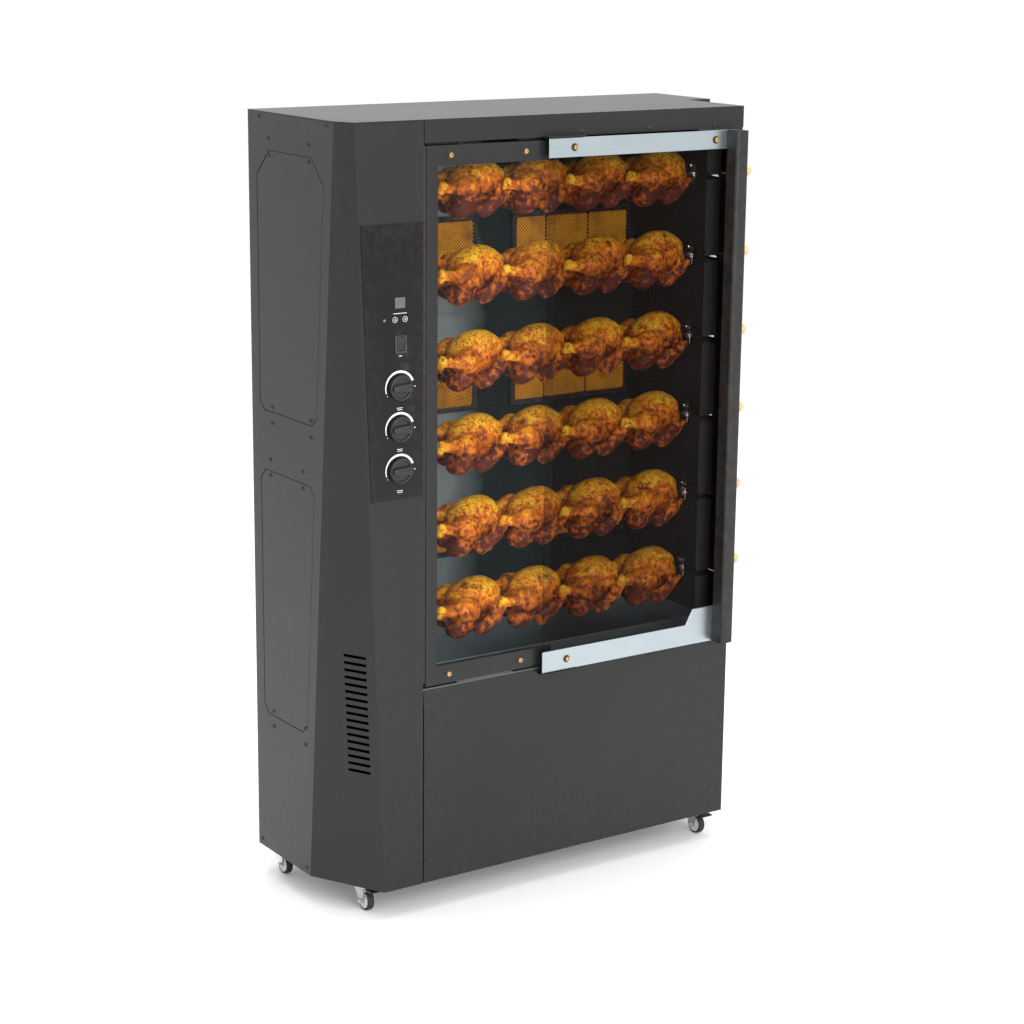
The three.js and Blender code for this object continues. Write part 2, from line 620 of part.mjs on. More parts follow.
function leftDoorFrame() {
  const { x0, x1, z0, z1, y, rail, stile } = LEFT_DOOR;
  const sheet = y + DOOR_SHEET;
  const hangers = [x0 + 6, x1 - 6 - HANGER.length].flatMap((x) => [
    ...hanger(x, y, TRACK.slots[1], z1 - 1, HANGER.top),
    ...hanger(x, y, TRACK.slots[1], z0 + 1, HANGER.drop),
  ]);
  return shape([
    box(x0, x1, y, sheet, z1 - rail, z1),
    box(x0, x1, y, sheet, z0, z0 + rail),
    box(x0, x0 + stile, y, sheet, z0, z1),
    ...hangers,
  ]);
}

function leftDoorGlass() {
  const { x0, x1, z0, z1, y } = LEFT_DOOR;
  const face = y + DOOR_SHEET + GAP;
  return box(x0 + 4, x1, face, face + GLASS, z0 + 6, z1 - 6);
}

function rightDoorRail(z0, z1, lipZ, hookEnd) {
  const { x0, x1, y } = RIGHT_DOOR;
  const ends = [x0 + 8, x1 - 14 - HANGER.length];
  return shape([
    box(x0, x1 - 1, y, y + DOOR_SHEET, z0, z1),
    ...ends.flatMap((x) => hanger(x, y, TRACK.slots[0], lipZ, hookEnd)),
  ]);
}

function rightTopRail() {
  const { z1, topRail } = RIGHT_DOOR;
  return rightDoorRail(z1 - topRail, z1, 1796, HANGER.top);
}

function rightBottomRail() {
  const { x1, z0, y, bottomRail } = RIGHT_DOOR;
  const top = z0 + bottomRail;
  const plate = rightDoorRail(z0, top, 547.5, HANGER.drop);
  const corner = [[950, top - 1], [x1 - 1, top - 1], [x1 - 1, top + 38], [972, top + 38]];
  const badge = frontPlate(corner, y, y + DOOR_SHEET);
  return shape([plate, badge]);
}

function rightDoorGlass() {
  const { x0, x1, z1, y } = RIGHT_DOOR;
  const face = y + DOOR_SHEET + GAP;
  return box(x0 + 2, x1 - 1, face, face + GLASS, 552, z1 - 6);
}

function doorHandle() {
  const { x1, z0, z1, y } = RIGHT_DOOR;
  const round = 9;
  const [left, front, back] = [x1 - HANDLE.width, y - HANDLE.reach, y - GAP];
  const section = new THREE.Shape();
  section.moveTo(left, back);
  section.lineTo(left, front + round);
  section.absarc(left + round, front + round, round, Math.PI, 1.5 * Math.PI, false);
  section.absarc(x1 - round, front + round, round, 1.5 * Math.PI, 2 * Math.PI, false);
  section.lineTo(x1, back);
  const bar = new THREE.ExtrudeGeometry(section, { depth: z1 - z0, bevelEnabled: false, curveSegments: 4 })
    .translate(0, 0, z0);
  const hollow = box(left + 3, x1 - 3, front + 3, back + 1, z0 + 4, z1 - 4);
  return shape([bar], [hollow]);
}

add('left_door_frame', leftDoorFrame(), CASING_PAINT);
add('left_door_glass', leftDoorGlass(), TINTED_GLASS);
add('right_door_top_rail', rightTopRail(), STAINLESS);
add('right_door_bottom_rail', rightBottomRail(), STAINLESS);
add('right_door_glass', rightDoorGlass(), TINTED_GLASS);
add('right_door_handle', doorHandle(), BLACK_PLASTIC);

// ---- Controls ----
function controlPanel() {
  const { z0, z1, front } = PANEL;
  const margin = 5;
  const right = COLUMN_WIDTH - 2;
  const plate = frontPlate([
    [bevelFront(z0) + margin, z0], [right, z0], [right, z1], [bevelFront(z1) + margin, z1],
  ], front, -GAP);
  const cuts = [
    ...KNOB_Z.map((z) => rodY(CONTROL_X, -5, 5, z, 7, 12)),
    box(ROCKER.x - 11, ROCKER.x + 11, -5, 5, ROCKER.z - 18, ROCKER.z + 18),
    ...Object.values(KEY_X).map((x) => rodY(x, -5, 5, KEY_Z, 5, 16)),
  ];
  return shape([plate], cuts);
}

function knob(z) {
  const profile = [[-1.2, 0], [-1.2, 28.5], [-6.5, 28.5], [-8, 26.5], [-12, 24], [-13.5, 22], [-13.5, 0]];
  const skirt = latheY(profile.reverse(), CONTROL_X, PANEL.front - 0.5, z, 20);
  const bar = box(CONTROL_X - 20, CONTROL_X + 22, PANEL.front - 17, PANEL.front - 10, z - 5, z + 5);
  const bore = rodY(CONTROL_X, -9, 0, z, 4.4, 12);
  return shape([skirt, bar], [bore]);
}

// Rocker: a shallow V seen from the side, pivoted on its middle.
function rocker() {
  const { x, z, width, height } = ROCKER;
  const half = height / 2;
  const outline = [
    [4, z - 9], [4, z + 9], [-1, z + half - 2], [-5.5, z + half - 2],
    [-2.5, z], [-2.5, z - half + 2], [-1, z - half + 2],
  ];
  return sidePlate(outline, x - width / 2, x + width / 2);
}

function keyButton(x) {
  return shape([rodY(x, -3, 1.5, KEY_Z, 4.4, 16)]);
}

add('control_panel', controlPanel(), CONTROL_BLACK);
KNOB_NAMES.forEach((name, i) => add(`gas_knob_${name}`, knob(KNOB_Z[i]), BLACK_PLASTIC));
add('power_rocker', shape([rocker()]), BLACK_PLASTIC);
for (const [name, x] of Object.entries(KEY_X)) add(`${name}_key`, keyButton(x), BLACK_PLASTIC);

// ---- Casters ----
const FORK = { top: 66.4, legX: 12.5, leg: 2.2, axle: 3 };
const PEDAL = { pivotY: 32, pivotZ: 55, pin: 2 };

function casterFork({ x, y }) {
  const axleY = y - CASTER_TRAIL;
  const leg = (side) => sidePlate([
    [axleY - 7, WHEEL_RADIUS - 5], [axleY + 6, WHEEL_RADIUS - 8], [y + 20, 58], [y + 20, 62], [y - 37, 62],
    [y - 38, 52], [y - 28, 48],
  ], x + side * FORK.legX - FORK.leg / 2, x + side * FORK.legX + FORK.leg / 2);
  return shape([
    leg(-1), leg(1),
    box(x - FORK.legX - 1, x + FORK.legX + 1, y - 24, y + 20, 59, 62),
    rodZ(x, y, 61, FORK.top, 20, 12),
    rodX(x - FORK.legX - 3, x + FORK.legX + 3, axleY, WHEEL_RADIUS, FORK.axle),
  ], [rodX(x - 20, x + 20, y - PEDAL.pivotY, PEDAL.pivotZ, PEDAL.pin + 0.5, 10)]);
}

function casterWheel({ x, y }) {
  const half = WHEEL_WIDTH / 2;
  return latheX([
    [-half, 3.5], [-half, 22], [-half + 3, WHEEL_RADIUS], [half - 3, WHEEL_RADIUS], [half, 22], [half, 3.5],
    [-half, 3.5],
  ], x, y - CASTER_TRAIL, WHEEL_RADIUS, 20);
}

// Brake pedal: a plate over the wheel that reaches out past it, on a pin in front of the fork.
function brakePedal({ x, y }) {
  const arm = sidePlate([
    [y - 42, 53.5], [y - 42, 59.5], [y - 36, 58.5], [y - 28, 57.5], [y - 27, 53], [y - 30, 51.5],
  ], x - 10.5, x + 10.5);
  const side = [[y - 41, 53.5], [y - 64, 56], [y - 68, 58.5], [y - 64, 61], [y - 41, 59.7]];
  const tread = sidePlate(side, x - 13, x + 13);
  const pin = rodX(x - FORK.legX - 2, x + FORK.legX + 2, y - PEDAL.pivotY, PEDAL.pivotZ, PEDAL.pin, 10);
  return shape([arm, tread, pin]);
}

for (const caster of CASTERS) {
  add(`caster_${caster.name}_fork`, casterFork(caster), ZINC);
  add(`caster_${caster.name}_wheel`, shape([casterWheel(caster)]), BLACK_RUBBER);
  if (caster.brake) add(`caster_${caster.name}_brake`, brakePedal(caster), BLACK_PLASTIC);
}

export default model;
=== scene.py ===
"""Finished surfaces of a floor-standing gas rotisserie oven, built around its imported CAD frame.

The script works in millimetres, in the frame that the CAD model was packed in, and changes to
metres only where a mesh is written. Places come from the boxes of the CAD nodes.
"""

import logging
import math
from collections.abc import Callable, Iterable, Sequence
from dataclasses import dataclass
from enum import Enum
from typing import Any, ClassVar

import bmesh
import bpy
from mathutils import Matrix, Vector, noise


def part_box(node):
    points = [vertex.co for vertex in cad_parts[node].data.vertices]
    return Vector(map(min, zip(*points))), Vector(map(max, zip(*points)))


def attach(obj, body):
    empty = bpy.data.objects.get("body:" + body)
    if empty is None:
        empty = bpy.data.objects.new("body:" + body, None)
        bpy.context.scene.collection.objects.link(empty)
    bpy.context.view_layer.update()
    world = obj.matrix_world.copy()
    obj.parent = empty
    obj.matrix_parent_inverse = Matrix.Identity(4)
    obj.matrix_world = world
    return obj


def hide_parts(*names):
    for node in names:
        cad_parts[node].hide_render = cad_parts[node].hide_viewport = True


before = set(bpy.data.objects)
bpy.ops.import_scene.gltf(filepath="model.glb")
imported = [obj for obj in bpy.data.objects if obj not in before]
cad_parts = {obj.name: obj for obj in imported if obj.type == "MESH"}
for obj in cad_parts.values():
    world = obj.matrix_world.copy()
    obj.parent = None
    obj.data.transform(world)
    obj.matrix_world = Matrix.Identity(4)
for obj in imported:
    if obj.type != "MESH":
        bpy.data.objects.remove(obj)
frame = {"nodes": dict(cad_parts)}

log = logging.getLogger("rotisserie_oven")
MM = 0.001
ROOT = "root"

Colour = tuple[float, float, float]
Point = tuple[float, float, float]
Flat = tuple[float, float]


# ---------------------------------------------------------------------------------------------
# Places and mesh building
# ---------------------------------------------------------------------------------------------
class Axis(Enum):
    """Direction that a turned or extruded shape runs along."""

    X = 0
    Y = 1
    Z = 2

    @property
    def frame(self) -> Matrix:
        """Rotation that carries local Z onto this axis and keeps the shape the right way round."""
        if self is Axis.X:
            return Matrix.Rotation(math.pi / 2, 4, "Z") @ Matrix.Rotation(math.pi / 2, 4, "X")
        if self is Axis.Y:
            return Matrix.Rotation(-math.pi / 2, 4, "X")
        return Matrix.Identity(4)


@dataclass(frozen=True)
class Extent:
    """Lowest and highest corner of a CAD node, in millimetres."""

    low: Vector
    high: Vector

    @classmethod
    def of(cls, node: str) -> "Extent":
        """The box of the CAD node with this name."""
        low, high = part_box(node)
        return cls(low / MM, high / MM)

    @property
    def middle(self) -> Vector:
        """Centre of the box."""
        return (self.low + self.high) / 2

    @property
    def size(self) -> Vector:
        """Side lengths of the box."""
        return self.high - self.low


class Solid:
    """A mesh under construction, in millimetres. Each call adds one closed shape."""

    def __init__(self) -> None:
        """Starts with nothing in it."""
        self.bm = bmesh.new()

    def take(self, part: bmesh.types.BMesh, matrix: Matrix | None = None) -> "Solid":
        """Moves another mesh into this one.

        Args:
            part: the mesh to add, which is freed.
            matrix: where it goes.

        Returns:
            This solid, so that calls can be chained.
        """
        if matrix is not None:
            part.transform(matrix)
        holder = bpy.data.meshes.new("holder")
        part.to_mesh(holder)
        part.free()
        self.bm.from_mesh(holder)
        bpy.data.meshes.remove(holder)
        return self

    def box(self, low: Sequence[float], high: Sequence[float], round_off: float = 0.0) -> "Solid":
        """Adds a block.

        Args:
            low: its lowest corner.
            high: its highest corner.
            round_off: radius of its edges.

        Returns:
            This solid.
        """
        part = bmesh.new()
        bmesh.ops.create_cube(part, size=1.0)
        low, high = Vector(low), Vector(high)
        part.transform(Matrix.Translation((low + high) / 2) @ Matrix.Diagonal((*(high - low), 1.0)))
        if round_off:
            self.ease(part, part.edges[:], round_off)
        return self.take(part)

    def turned(self, profile: Sequence[Flat], at: Sequence[float], axis: Axis, sides: int = 32) -> "Solid":
        """Adds a shape of revolution.

        Args:
            profile: [distance along the axis, radius] points. It starts and ends on the axis, or
                closes on itself as a ring.
            at: the origin of the axis.
            axis: its direction.
            sides: how many faces go round it.

        Returns:
            This solid.
        """
        part = bmesh.new()
        rings = []
        for along, radius in profile:
            if radius < 1e-6:
                rings.append([part.verts.new((0.0, 0.0, along))])
                continue
            rings.append([
                part.verts.new((radius * math.cos(a), radius * math.sin(a), along))
                for a in (2 * math.pi * i / sides for i in range(sides))
            ])
        pairs = list(zip(rings, rings[1:]))
        if len(rings[0]) > 1 and len(rings[-1]) > 1:
            pairs.append((rings[-1], rings[0]))
        for lower, upper in pairs:
            for i in range(sides):
                j = (i + 1) % sides
                around = ((lower, i), (lower, j), (upper, j), (upper, i))
                corners = [ring[k % len(ring)] for ring, k in around]
                unique = list(dict.fromkeys(corners))
                if len(unique) > 2:
                    part.faces.new(unique)
        bmesh.ops.recalc_face_normals(part, faces=part.faces[:])
        return self.take(part, Matrix.Translation(Vector(at)) @ axis.frame)

    def rod(self, start: Sequence[float], end: Sequence[float], radius: float, tip: float | None = None,
            sides: int = 24) -> "Solid":
        """Adds a round bar or a taper between two points, with eased ends.

        Args:
            start: centre of the first end.
            end: centre of the other end.
            radius: radius at the start.
            tip: radius at the end, the same as at the start if left out.
            sides: how many faces go round it.

        Returns:
            This solid.
        """
        start, end = Vector(start), Vector(end)
        tip = radius if tip is None else tip
        length = (end - start).length
        ease = min(0.12 * radius, 0.2 * length)
        profile = [(0, 0), (0, radius - ease), (ease, radius)]
        profile += [(length - ease, tip), (length, tip - ease), (length, 0)]
        piece = Solid().turned(profile, (0, 0, 0), Axis.Z, sides)
        turn = (end - start).to_track_quat("Z", "Y").to_matrix().to_4x4()
        return self.take(piece.bm, Matrix.Translation(start) @ turn)

    def prism(self, outline: Sequence[Flat], at: Sequence[float], axis: Axis, depth: float,
              round_off: float = 0.0) -> "Solid":
        """Adds a plate cut to an outline.

        Args:
            outline: points across the axis. Along X they are (y, z), along Y (x, z), along Z (x, y).
            at: where the outline's own origin goes.
            axis: direction of the thickness.
            depth: the thickness.
            round_off: radius of the edges of both faces.

        Returns:
            This solid.
        """
        place = {
            Axis.X: lambda u, v: (0.0, u, v),
            Axis.Y: lambda u, v: (u, 0.0, v),
            Axis.Z: lambda u, v: (u, v, 0.0),
        }[axis]
        part = bmesh.new()
        base = part.faces.new([part.verts.new(place(u, v)) for u, v in outline])
        shift = Vector(place(0, 0))
        shift[axis.value] = depth
        grown = bmesh.ops.extrude_face_region(part, geom=[base])
        far = [v for v in grown["geom"] if isinstance(v, bmesh.types.BMVert)]
        bmesh.ops.translate(part, vec=shift, verts=far)
        bmesh.ops.recalc_face_normals(part, faces=part.faces[:])
        if round_off:
            rims = [e for e in part.edges if e.calc_face_angle(0.0) > math.radians(50)]
            self.ease(part, rims, round_off)
        return self.take(part, Matrix.Translation(Vector(at)))

    def ease(self, part: bmesh.types.BMesh, edges: Sequence[bmesh.types.BMEdge], width: float) -> None:
        """Rounds the given edges of a part in two steps."""
        bmesh.ops.bevel(part, geom=edges, offset=width, segments=2, affect="EDGES", profile=0.5)

    def turn(self, angle: float, axis: Axis, about: Sequence[float]) -> "Solid":
        """Turns everything so far by an angle in radians about a line along an axis."""
        place = Matrix.Translation(Vector(about))
        self.bm.transform(place @ Matrix.Rotation(angle, 4, axis.name) @ place.inverted())
        return self

    def mesh(self, name: str) -> bpy.types.Mesh:
        """Writes the mesh in metres and frees the working copy."""
        self.bm.transform(Matrix.Scale(MM, 4))
        made = bpy.data.meshes.new(name)
        self.bm.to_mesh(made)
        self.bm.free()
        return made


def arc(radius: float, start: float, end: float, steps: int, centre: Flat = (0.0, 0.0)) -> list[Flat]:
    """Points along an arc, with angles in degrees.

    Args:
        radius: radius of the arc.
        start: first angle.
        end: last angle.
        steps: number of chords.
        centre: its centre.

    Returns:
        The points, both ends included.
    """
    angles = (math.radians(start + (end - start) * i / steps) for i in range(steps + 1))
    return [(centre[0] + radius * math.cos(a), centre[1] + radius * math.sin(a)) for a in angles]


def rounded(width: float, height: float, radius: float, steps: int = 4) -> list[Flat]:
    """Outline of a rectangle with round corners, centred on its own origin."""
    x, z = width / 2 - radius, height / 2 - radius
    corners = [(x, z, 0), (-x, z, 90), (-x, -z, 180), (x, -z, 270)]
    return [p for cx, cz, a in corners for p in arc(radius, a, a + 90, steps, (cx, cz))]


def smooth(mesh: bpy.types.Mesh, crease: float = 32.0) -> None:
    """Shades a mesh smooth, with sharp edges above the crease angle in degrees."""
    mesh.shade_smooth()
    mesh.set_sharp_from_angle(angle=math.radians(crease))


def new_object(name: str, mesh: bpy.types.Mesh) -> bpy.types.Object:
    """Links a new object at the origin."""
    made = bpy.data.objects.new(name, mesh)
    bpy.context.scene.collection.objects.link(made)
    return made


def baked(source: bpy.types.Object, name: str) -> bpy.types.Object:
    """Turns an object with modifiers into a plain mesh object and removes the source."""
    graph = bpy.context.evaluated_depsgraph_get()
    shaped = source.evaluated_get(graph)
    mesh = bpy.data.meshes.new_from_object(shaped, preserve_all_data_layers=True, depsgraph=graph)
    bpy.data.objects.remove(source)
    mesh.name = name
    return new_object(name, mesh)


def fit(piece: bpy.types.Object, body: str, finish: "Finish",
        stands_for: Iterable[str] = ()) -> bpy.types.Object:
    """Dresses a piece, hangs it on its CAD body and hides the CAD nodes that it stands for.

    Args:
        piece: the finished object.
        body: the CAD body that carries it.
        finish: its material.
        stands_for: the CAD nodes that it hides.

    Returns:
        The same object.
    """
    if not piece.data.materials:
        piece.data.materials.append(finish.material())
    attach(piece, body)
    for node in stands_for:
        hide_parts(node)
    log.info("%s rides on %s, %d faces", piece.name, body, len(piece.data.polygons))
    return piece


def fit_solid(name: str, solid: Solid, body: str, finish: "Finish", stands_for: Iterable[str] = (),
              crease: float = 32.0) -> bpy.types.Object:
    """Writes a solid, shades it and fits it. Arguments are those of Solid.mesh, smooth and fit."""
    mesh = solid.mesh(name)
    smooth(mesh, crease)
    return fit(new_object(name, mesh), body, finish, stands_for)


def eased_copy(node: str, edge: float = 0.6, crease: float = 32.0, segments: int = 2) -> bpy.types.Object:
    """Copies a CAD node, joins its loose triangles and eases its sharp edges.

    Args:
        node: the CAD node.
        edge: width of the eased edge.
        crease: edges sharper than this many degrees are eased.
        segments: steps across an eased edge.

    Returns:
        The new object, shaded smooth.
    """
    bm = bmesh.new()
    bm.from_mesh(frame["nodes"][node].data)
    bmesh.ops.remove_doubles(bm, verts=bm.verts[:], dist=0.02 * MM)
    bmesh.ops.dissolve_limit(bm, angle_limit=math.radians(0.6), verts=bm.verts[:], edges=bm.edges[:])
    mesh = bpy.data.meshes.new(node)
    bm.to_mesh(mesh)
    bm.free()
    mesh.materials.clear()
    smooth(mesh, crease)
    source = new_object(f"{node}_source", mesh)
    ease = source.modifiers.new("ease", "BEVEL")
    ease.width, ease.segments = edge * MM, segments
    ease.limit_method, ease.angle_limit = "ANGLE", math.radians(crease)
    weigh = source.modifiers.new("weigh", "WEIGHTED_NORMAL")
    weigh.keep_sharp = True
    return baked(source, f"{node}_finished")


def ease_node(node: str, body: str, finish: "Finish", edge: float = 0.6,
              crease: float = 32.0) -> bpy.types.Object:
    """Fits an eased copy of a CAD node in its place."""
    return fit(eased_copy(node, edge, crease), body, finish, [node])


# ---------------------------------------------------------------------------------------------
# Finishes
# ---------------------------------------------------------------------------------------------
class Graph:
    """A node tree with one short call for each node."""

    def __init__(self, tree: bpy.types.NodeTree) -> None:
        """Wraps a material's or a group's tree."""
        self.tree = tree

    def add(self, kind: str, inputs: dict[Any, Any] | None = None, **settings: Any) -> bpy.types.Node:
        """Adds a node.

        Args:
            kind: the node's type name.
            inputs: values or sockets for its inputs, by name or number.
            settings: the node's own properties.

        Returns:
            The node.
        """
        made = self.tree.nodes.new(kind)
        for name, value in settings.items():
            setattr(made, name, value)
        for key, value in (inputs or {}).items():
            if isinstance(value, bpy.types.NodeSocket):
                self.tree.links.new(value, made.inputs[key])
            else:
                made.inputs[key].default_value = value
        return made

    def maths(self, operation: str, a: Any, b: Any = 0.0, clamp: bool = False) -> bpy.types.NodeSocket:
        """A maths node's result."""
        return self.add("ShaderNodeMath", {0: a, 1: b}, operation=operation, use_clamp=clamp).outputs[0]

    def blend(self, share: Any, a: Any, b: Any) -> bpy.types.NodeSocket:
        """Colour a turning into colour b as share goes from 0 to 1."""
        made = self.add("ShaderNodeMix", data_type="RGBA")
        for socket, value in zip((made.inputs[0], made.inputs[6], made.inputs[7]), (share, a, b)):
            if isinstance(value, bpy.types.NodeSocket):
                self.tree.links.new(value, socket)
            else:
                socket.default_value = (*value, 1.0) if isinstance(value, tuple) else value
        return made.outputs[2]

    def spread(self, value: Any, low: float, high: float, start: float = 0.0,
               end: float = 1.0) -> bpy.types.NodeSocket:
        """Maps a value from the range start..end to low..high, held at both ends."""
        made = self.add("ShaderNodeMapRange", {"Value": value, "From Min": start, "From Max": end,
                                               "To Min": low, "To Max": high})
        return made.outputs[0]

    def noise(self, place: Any, scale: float, detail: float = 3.0,
              rough: float = 0.55) -> bpy.types.NodeSocket:
        """A noise value with features about 1/scale metres across."""
        return self.add("ShaderNodeTexNoise", {"Vector": place, "Scale": scale, "Detail": detail,
                                               "Roughness": rough}).outputs["Fac"]

    def stretched(self, scale: Point) -> bpy.types.NodeSocket:
        """Object coordinates scaled differently along each axis."""
        place = self.add("ShaderNodeTexCoord").outputs["Object"]
        return self.add("ShaderNodeMapping", {"Vector": place, "Scale": scale}).outputs[0]


def group(name: str, inputs: dict[str, float], outputs: Sequence[str],
          wire: Callable[[Graph, Any, Any], None]) -> bpy.types.NodeTree:
    """Builds a shader node group once and hands it out after that.

    Args:
        name: the group's name.
        inputs: its number inputs and their defaults.
        outputs: its number outputs.
        wire: fills the tree, given the graph, the input node and the output node.

    Returns:
        The group's tree.
    """
    found = bpy.data.node_groups.get(name)
    if found:
        return found
    tree = bpy.data.node_groups.new(name, "ShaderNodeTree")
    for label, value in inputs.items():
        tree.interface.new_socket(label, in_out="INPUT", socket_type="NodeSocketFloat").default_value = value
    for label in outputs:
        tree.interface.new_socket(label, in_out="OUTPUT", socket_type="NodeSocketFloat")
    graph = Graph(tree)
    wire(graph, graph.add("NodeGroupInput"), graph.add("NodeGroupOutput"))
    return tree


def grain_group() -> bpy.types.NodeTree:
    """Fine orange-peel grain of a sprayed or moulded skin, with slow drift over the sheet."""
    def wire(graph: Graph, inside: Any, outside: Any) -> None:
        """Fills the group."""
        place = graph.add("ShaderNodeTexCoord").outputs["Object"]
        scale = inside.outputs["Scale"]
        fine = graph.add("ShaderNodeTexNoise", {"Vector": place, "Scale": scale, "Detail": 2.0})
        drift = graph.noise(place, 3.0, 4.0)
        graph.tree.links.new(fine.outputs["Fac"], outside.inputs["Grain"])
        graph.tree.links.new(drift, outside.inputs["Drift"])
    return group("sprayed_grain", {"Scale": 900.0}, ["Grain", "Drift"], wire)


def wear_group() -> bpy.types.NodeTree:
    """Mask of rubbed edges: convex edges broken up by noise."""
    def wire(graph: Graph, inside: Any, outside: Any) -> None:
        """Fills the group."""
        place = graph.add("ShaderNodeTexCoord").outputs["Object"]
        edge = graph.spread(graph.add("ShaderNodeNewGeometry").outputs["Pointiness"], 0.0, 1.0, 0.53, 0.62)
        broken = graph.spread(graph.noise(place, 60.0, 4.0), 0.0, 1.0, 0.42, 0.62)
        worn = graph.maths("MULTIPLY", edge, broken)
        rubbed = graph.maths("MULTIPLY", worn, inside.outputs["Amount"], clamp=True)
        graph.tree.links.new(rubbed, outside.inputs["Rubbed"])
    return group("rubbed_edges", {"Amount": 0.5}, ["Rubbed"], wire)


def dust_group() -> bpy.types.NodeTree:
    """Mask of dust and grease film: patches that gather towards the foot of the machine."""
    def wire(graph: Graph, inside: Any, outside: Any) -> None:
        """Fills the group."""
        place = graph.add("ShaderNodeTexCoord").outputs["Object"]
        height = graph.add("ShaderNodeSeparateXYZ", {0: place}).outputs["Z"]
        low = graph.spread(height, 1.0, 0.25, 0.0, 1.2)
        patch = graph.spread(graph.noise(place, 9.0, 5.0, 0.65), 0.0, 1.0, 0.4, 0.75)
        settled = graph.maths("MULTIPLY", low, patch)
        film = graph.maths("MULTIPLY", settled, inside.outputs["Amount"], clamp=True)
        graph.tree.links.new(film, outside.inputs["Film"])
    return group("settled_film", {"Amount": 0.5}, ["Film"], wire)


@dataclass(frozen=True)
class Finish:
    """A finish of the oven: its name and the record's slot that it belongs to."""

    name: str
    slot: str
    colour: Colour
    roughness: float = 0.5
    metallic: float = 0.0

    def material(self) -> bpy.types.Material:
        """The Blender material, built on first use."""
        found = bpy.data.materials.get(self.name)
        if found:
            return found
        made = bpy.data.materials.new(self.name)
        made.use_nodes = True
        made.diffuse_color = (*self.colour, 1.0)
        graph = Graph(made.node_tree)
        shader = made.node_tree.nodes["Principled BSDF"]
        shader.inputs["Base Color"].default_value = (*self.colour, 1.0)
        shader.inputs["Roughness"].default_value = self.roughness
        shader.inputs["Metallic"].default_value = self.metallic
        self.wire(graph, shader)
        return made

    def wire(self, graph: Graph, shader: bpy.types.Node) -> None:
        """Adds the finish's own detail to the shader."""
        raise NotImplementedError

    def place(self, graph: Graph) -> bpy.types.NodeSocket:
        """Object coordinates in metres."""
        return graph.add("ShaderNodeTexCoord").outputs["Object"]

    def rough(self, graph: Graph, shader: bpy.types.Node, value: Any) -> None:
        """Feeds the roughness."""
        graph.tree.links.new(value, shader.inputs["Roughness"])

    def tint(self, graph: Graph, shader: bpy.types.Node, value: Any) -> None:
        """Feeds the base colour."""
        graph.tree.links.new(value, shader.inputs["Base Color"])

    def relief(self, graph: Graph, shader: bpy.types.Node, height: Any, depth: float,
               strength: float = 1.0) -> None:
        """Feeds the normal from a height, with its depth in millimetres."""
        bump = graph.add("ShaderNodeBump", {"Height": height, "Distance": depth * MM, "Strength": strength})
        graph.tree.links.new(bump.outputs[0], shader.inputs["Normal"])


@dataclass(frozen=True)
class Sprayed(Finish):
    """Powder coat or moulded skin with fine grain, rubbed edges and a little film."""

    rubbed: Colour = (0.16, 0.16, 0.16)
    grain: float = 900.0
    depth: float = 0.03
    wear: float = 0.35
    film: float = 0.2
    shine: float = 0.5

    def wire(self, graph: Graph, shader: bpy.types.Node) -> None:
        """Grain drives roughness and relief, drift and wear the colour."""
        skin = graph.add("ShaderNodeGroup", node_tree=grain_group())
        skin.inputs["Scale"].default_value = self.grain
        rubbed = graph.add("ShaderNodeGroup", node_tree=wear_group())
        rubbed.inputs["Amount"].default_value = self.wear
        film = graph.add("ShaderNodeGroup", node_tree=dust_group())
        film.inputs["Amount"].default_value = self.film
        darker = tuple(c * 0.9 for c in self.colour)
        dusty = tuple(c * 0.9 + 0.008 for c in self.colour)
        body = graph.blend(skin.outputs["Drift"], darker, self.colour)
        body = graph.blend(film.outputs["Film"], body, dusty)
        self.tint(graph, shader, graph.blend(rubbed.outputs["Rubbed"], body, self.rubbed))
        vary = graph.maths("ADD", graph.spread(skin.outputs["Drift"], -0.02, 0.02, 0.3, 0.7),
                           graph.spread(skin.outputs["Grain"], -0.03, 0.03, 0.3, 0.7))
        self.rough(graph, shader, graph.maths("ADD", vary, self.roughness, clamp=True))
        self.relief(graph, shader, skin.outputs["Grain"], self.depth)
        shader.inputs["Specular IOR Level"].default_value = self.shine


@dataclass(frozen=True)
class Brushed(Finish):
    """Rolled or brushed metal with streaks along one direction."""

    across: Point = (4.0, 900.0, 900.0)
    smear: float = 0.5
    contrast: float = 0.12
    metallic: float = 1.0
    shine: float = 0.5

    def wire(self, graph: Graph, shader: bpy.types.Node) -> None:
        """Streaks drive roughness and relief, smears the colour."""
        streak = graph.noise(graph.stretched(self.across), 1.0, 5.0, 0.6)
        smear = graph.noise(self.place(graph), 7.0, 4.0, 0.6)
        dull = tuple(c * (1 - self.smear * 0.4) for c in self.colour)
        streaked = graph.spread(streak, 0.3, 1.0, 0.3, 0.7)
        smeared = graph.spread(smear, 0.4, 1.0, 0.3, 0.7)
        mixed = graph.maths("MULTIPLY", streaked, smeared)
        self.tint(graph, shader, graph.blend(mixed, dull, self.colour))
        wide = graph.spread(streak, -self.contrast, self.contrast, 0.3, 0.7)
        self.rough(graph, shader, graph.maths("ADD", wide, self.roughness, clamp=True))
        self.relief(graph, shader, streak, 0.008, 0.4)
        shader.inputs["Specular IOR Level"].default_value = self.shine


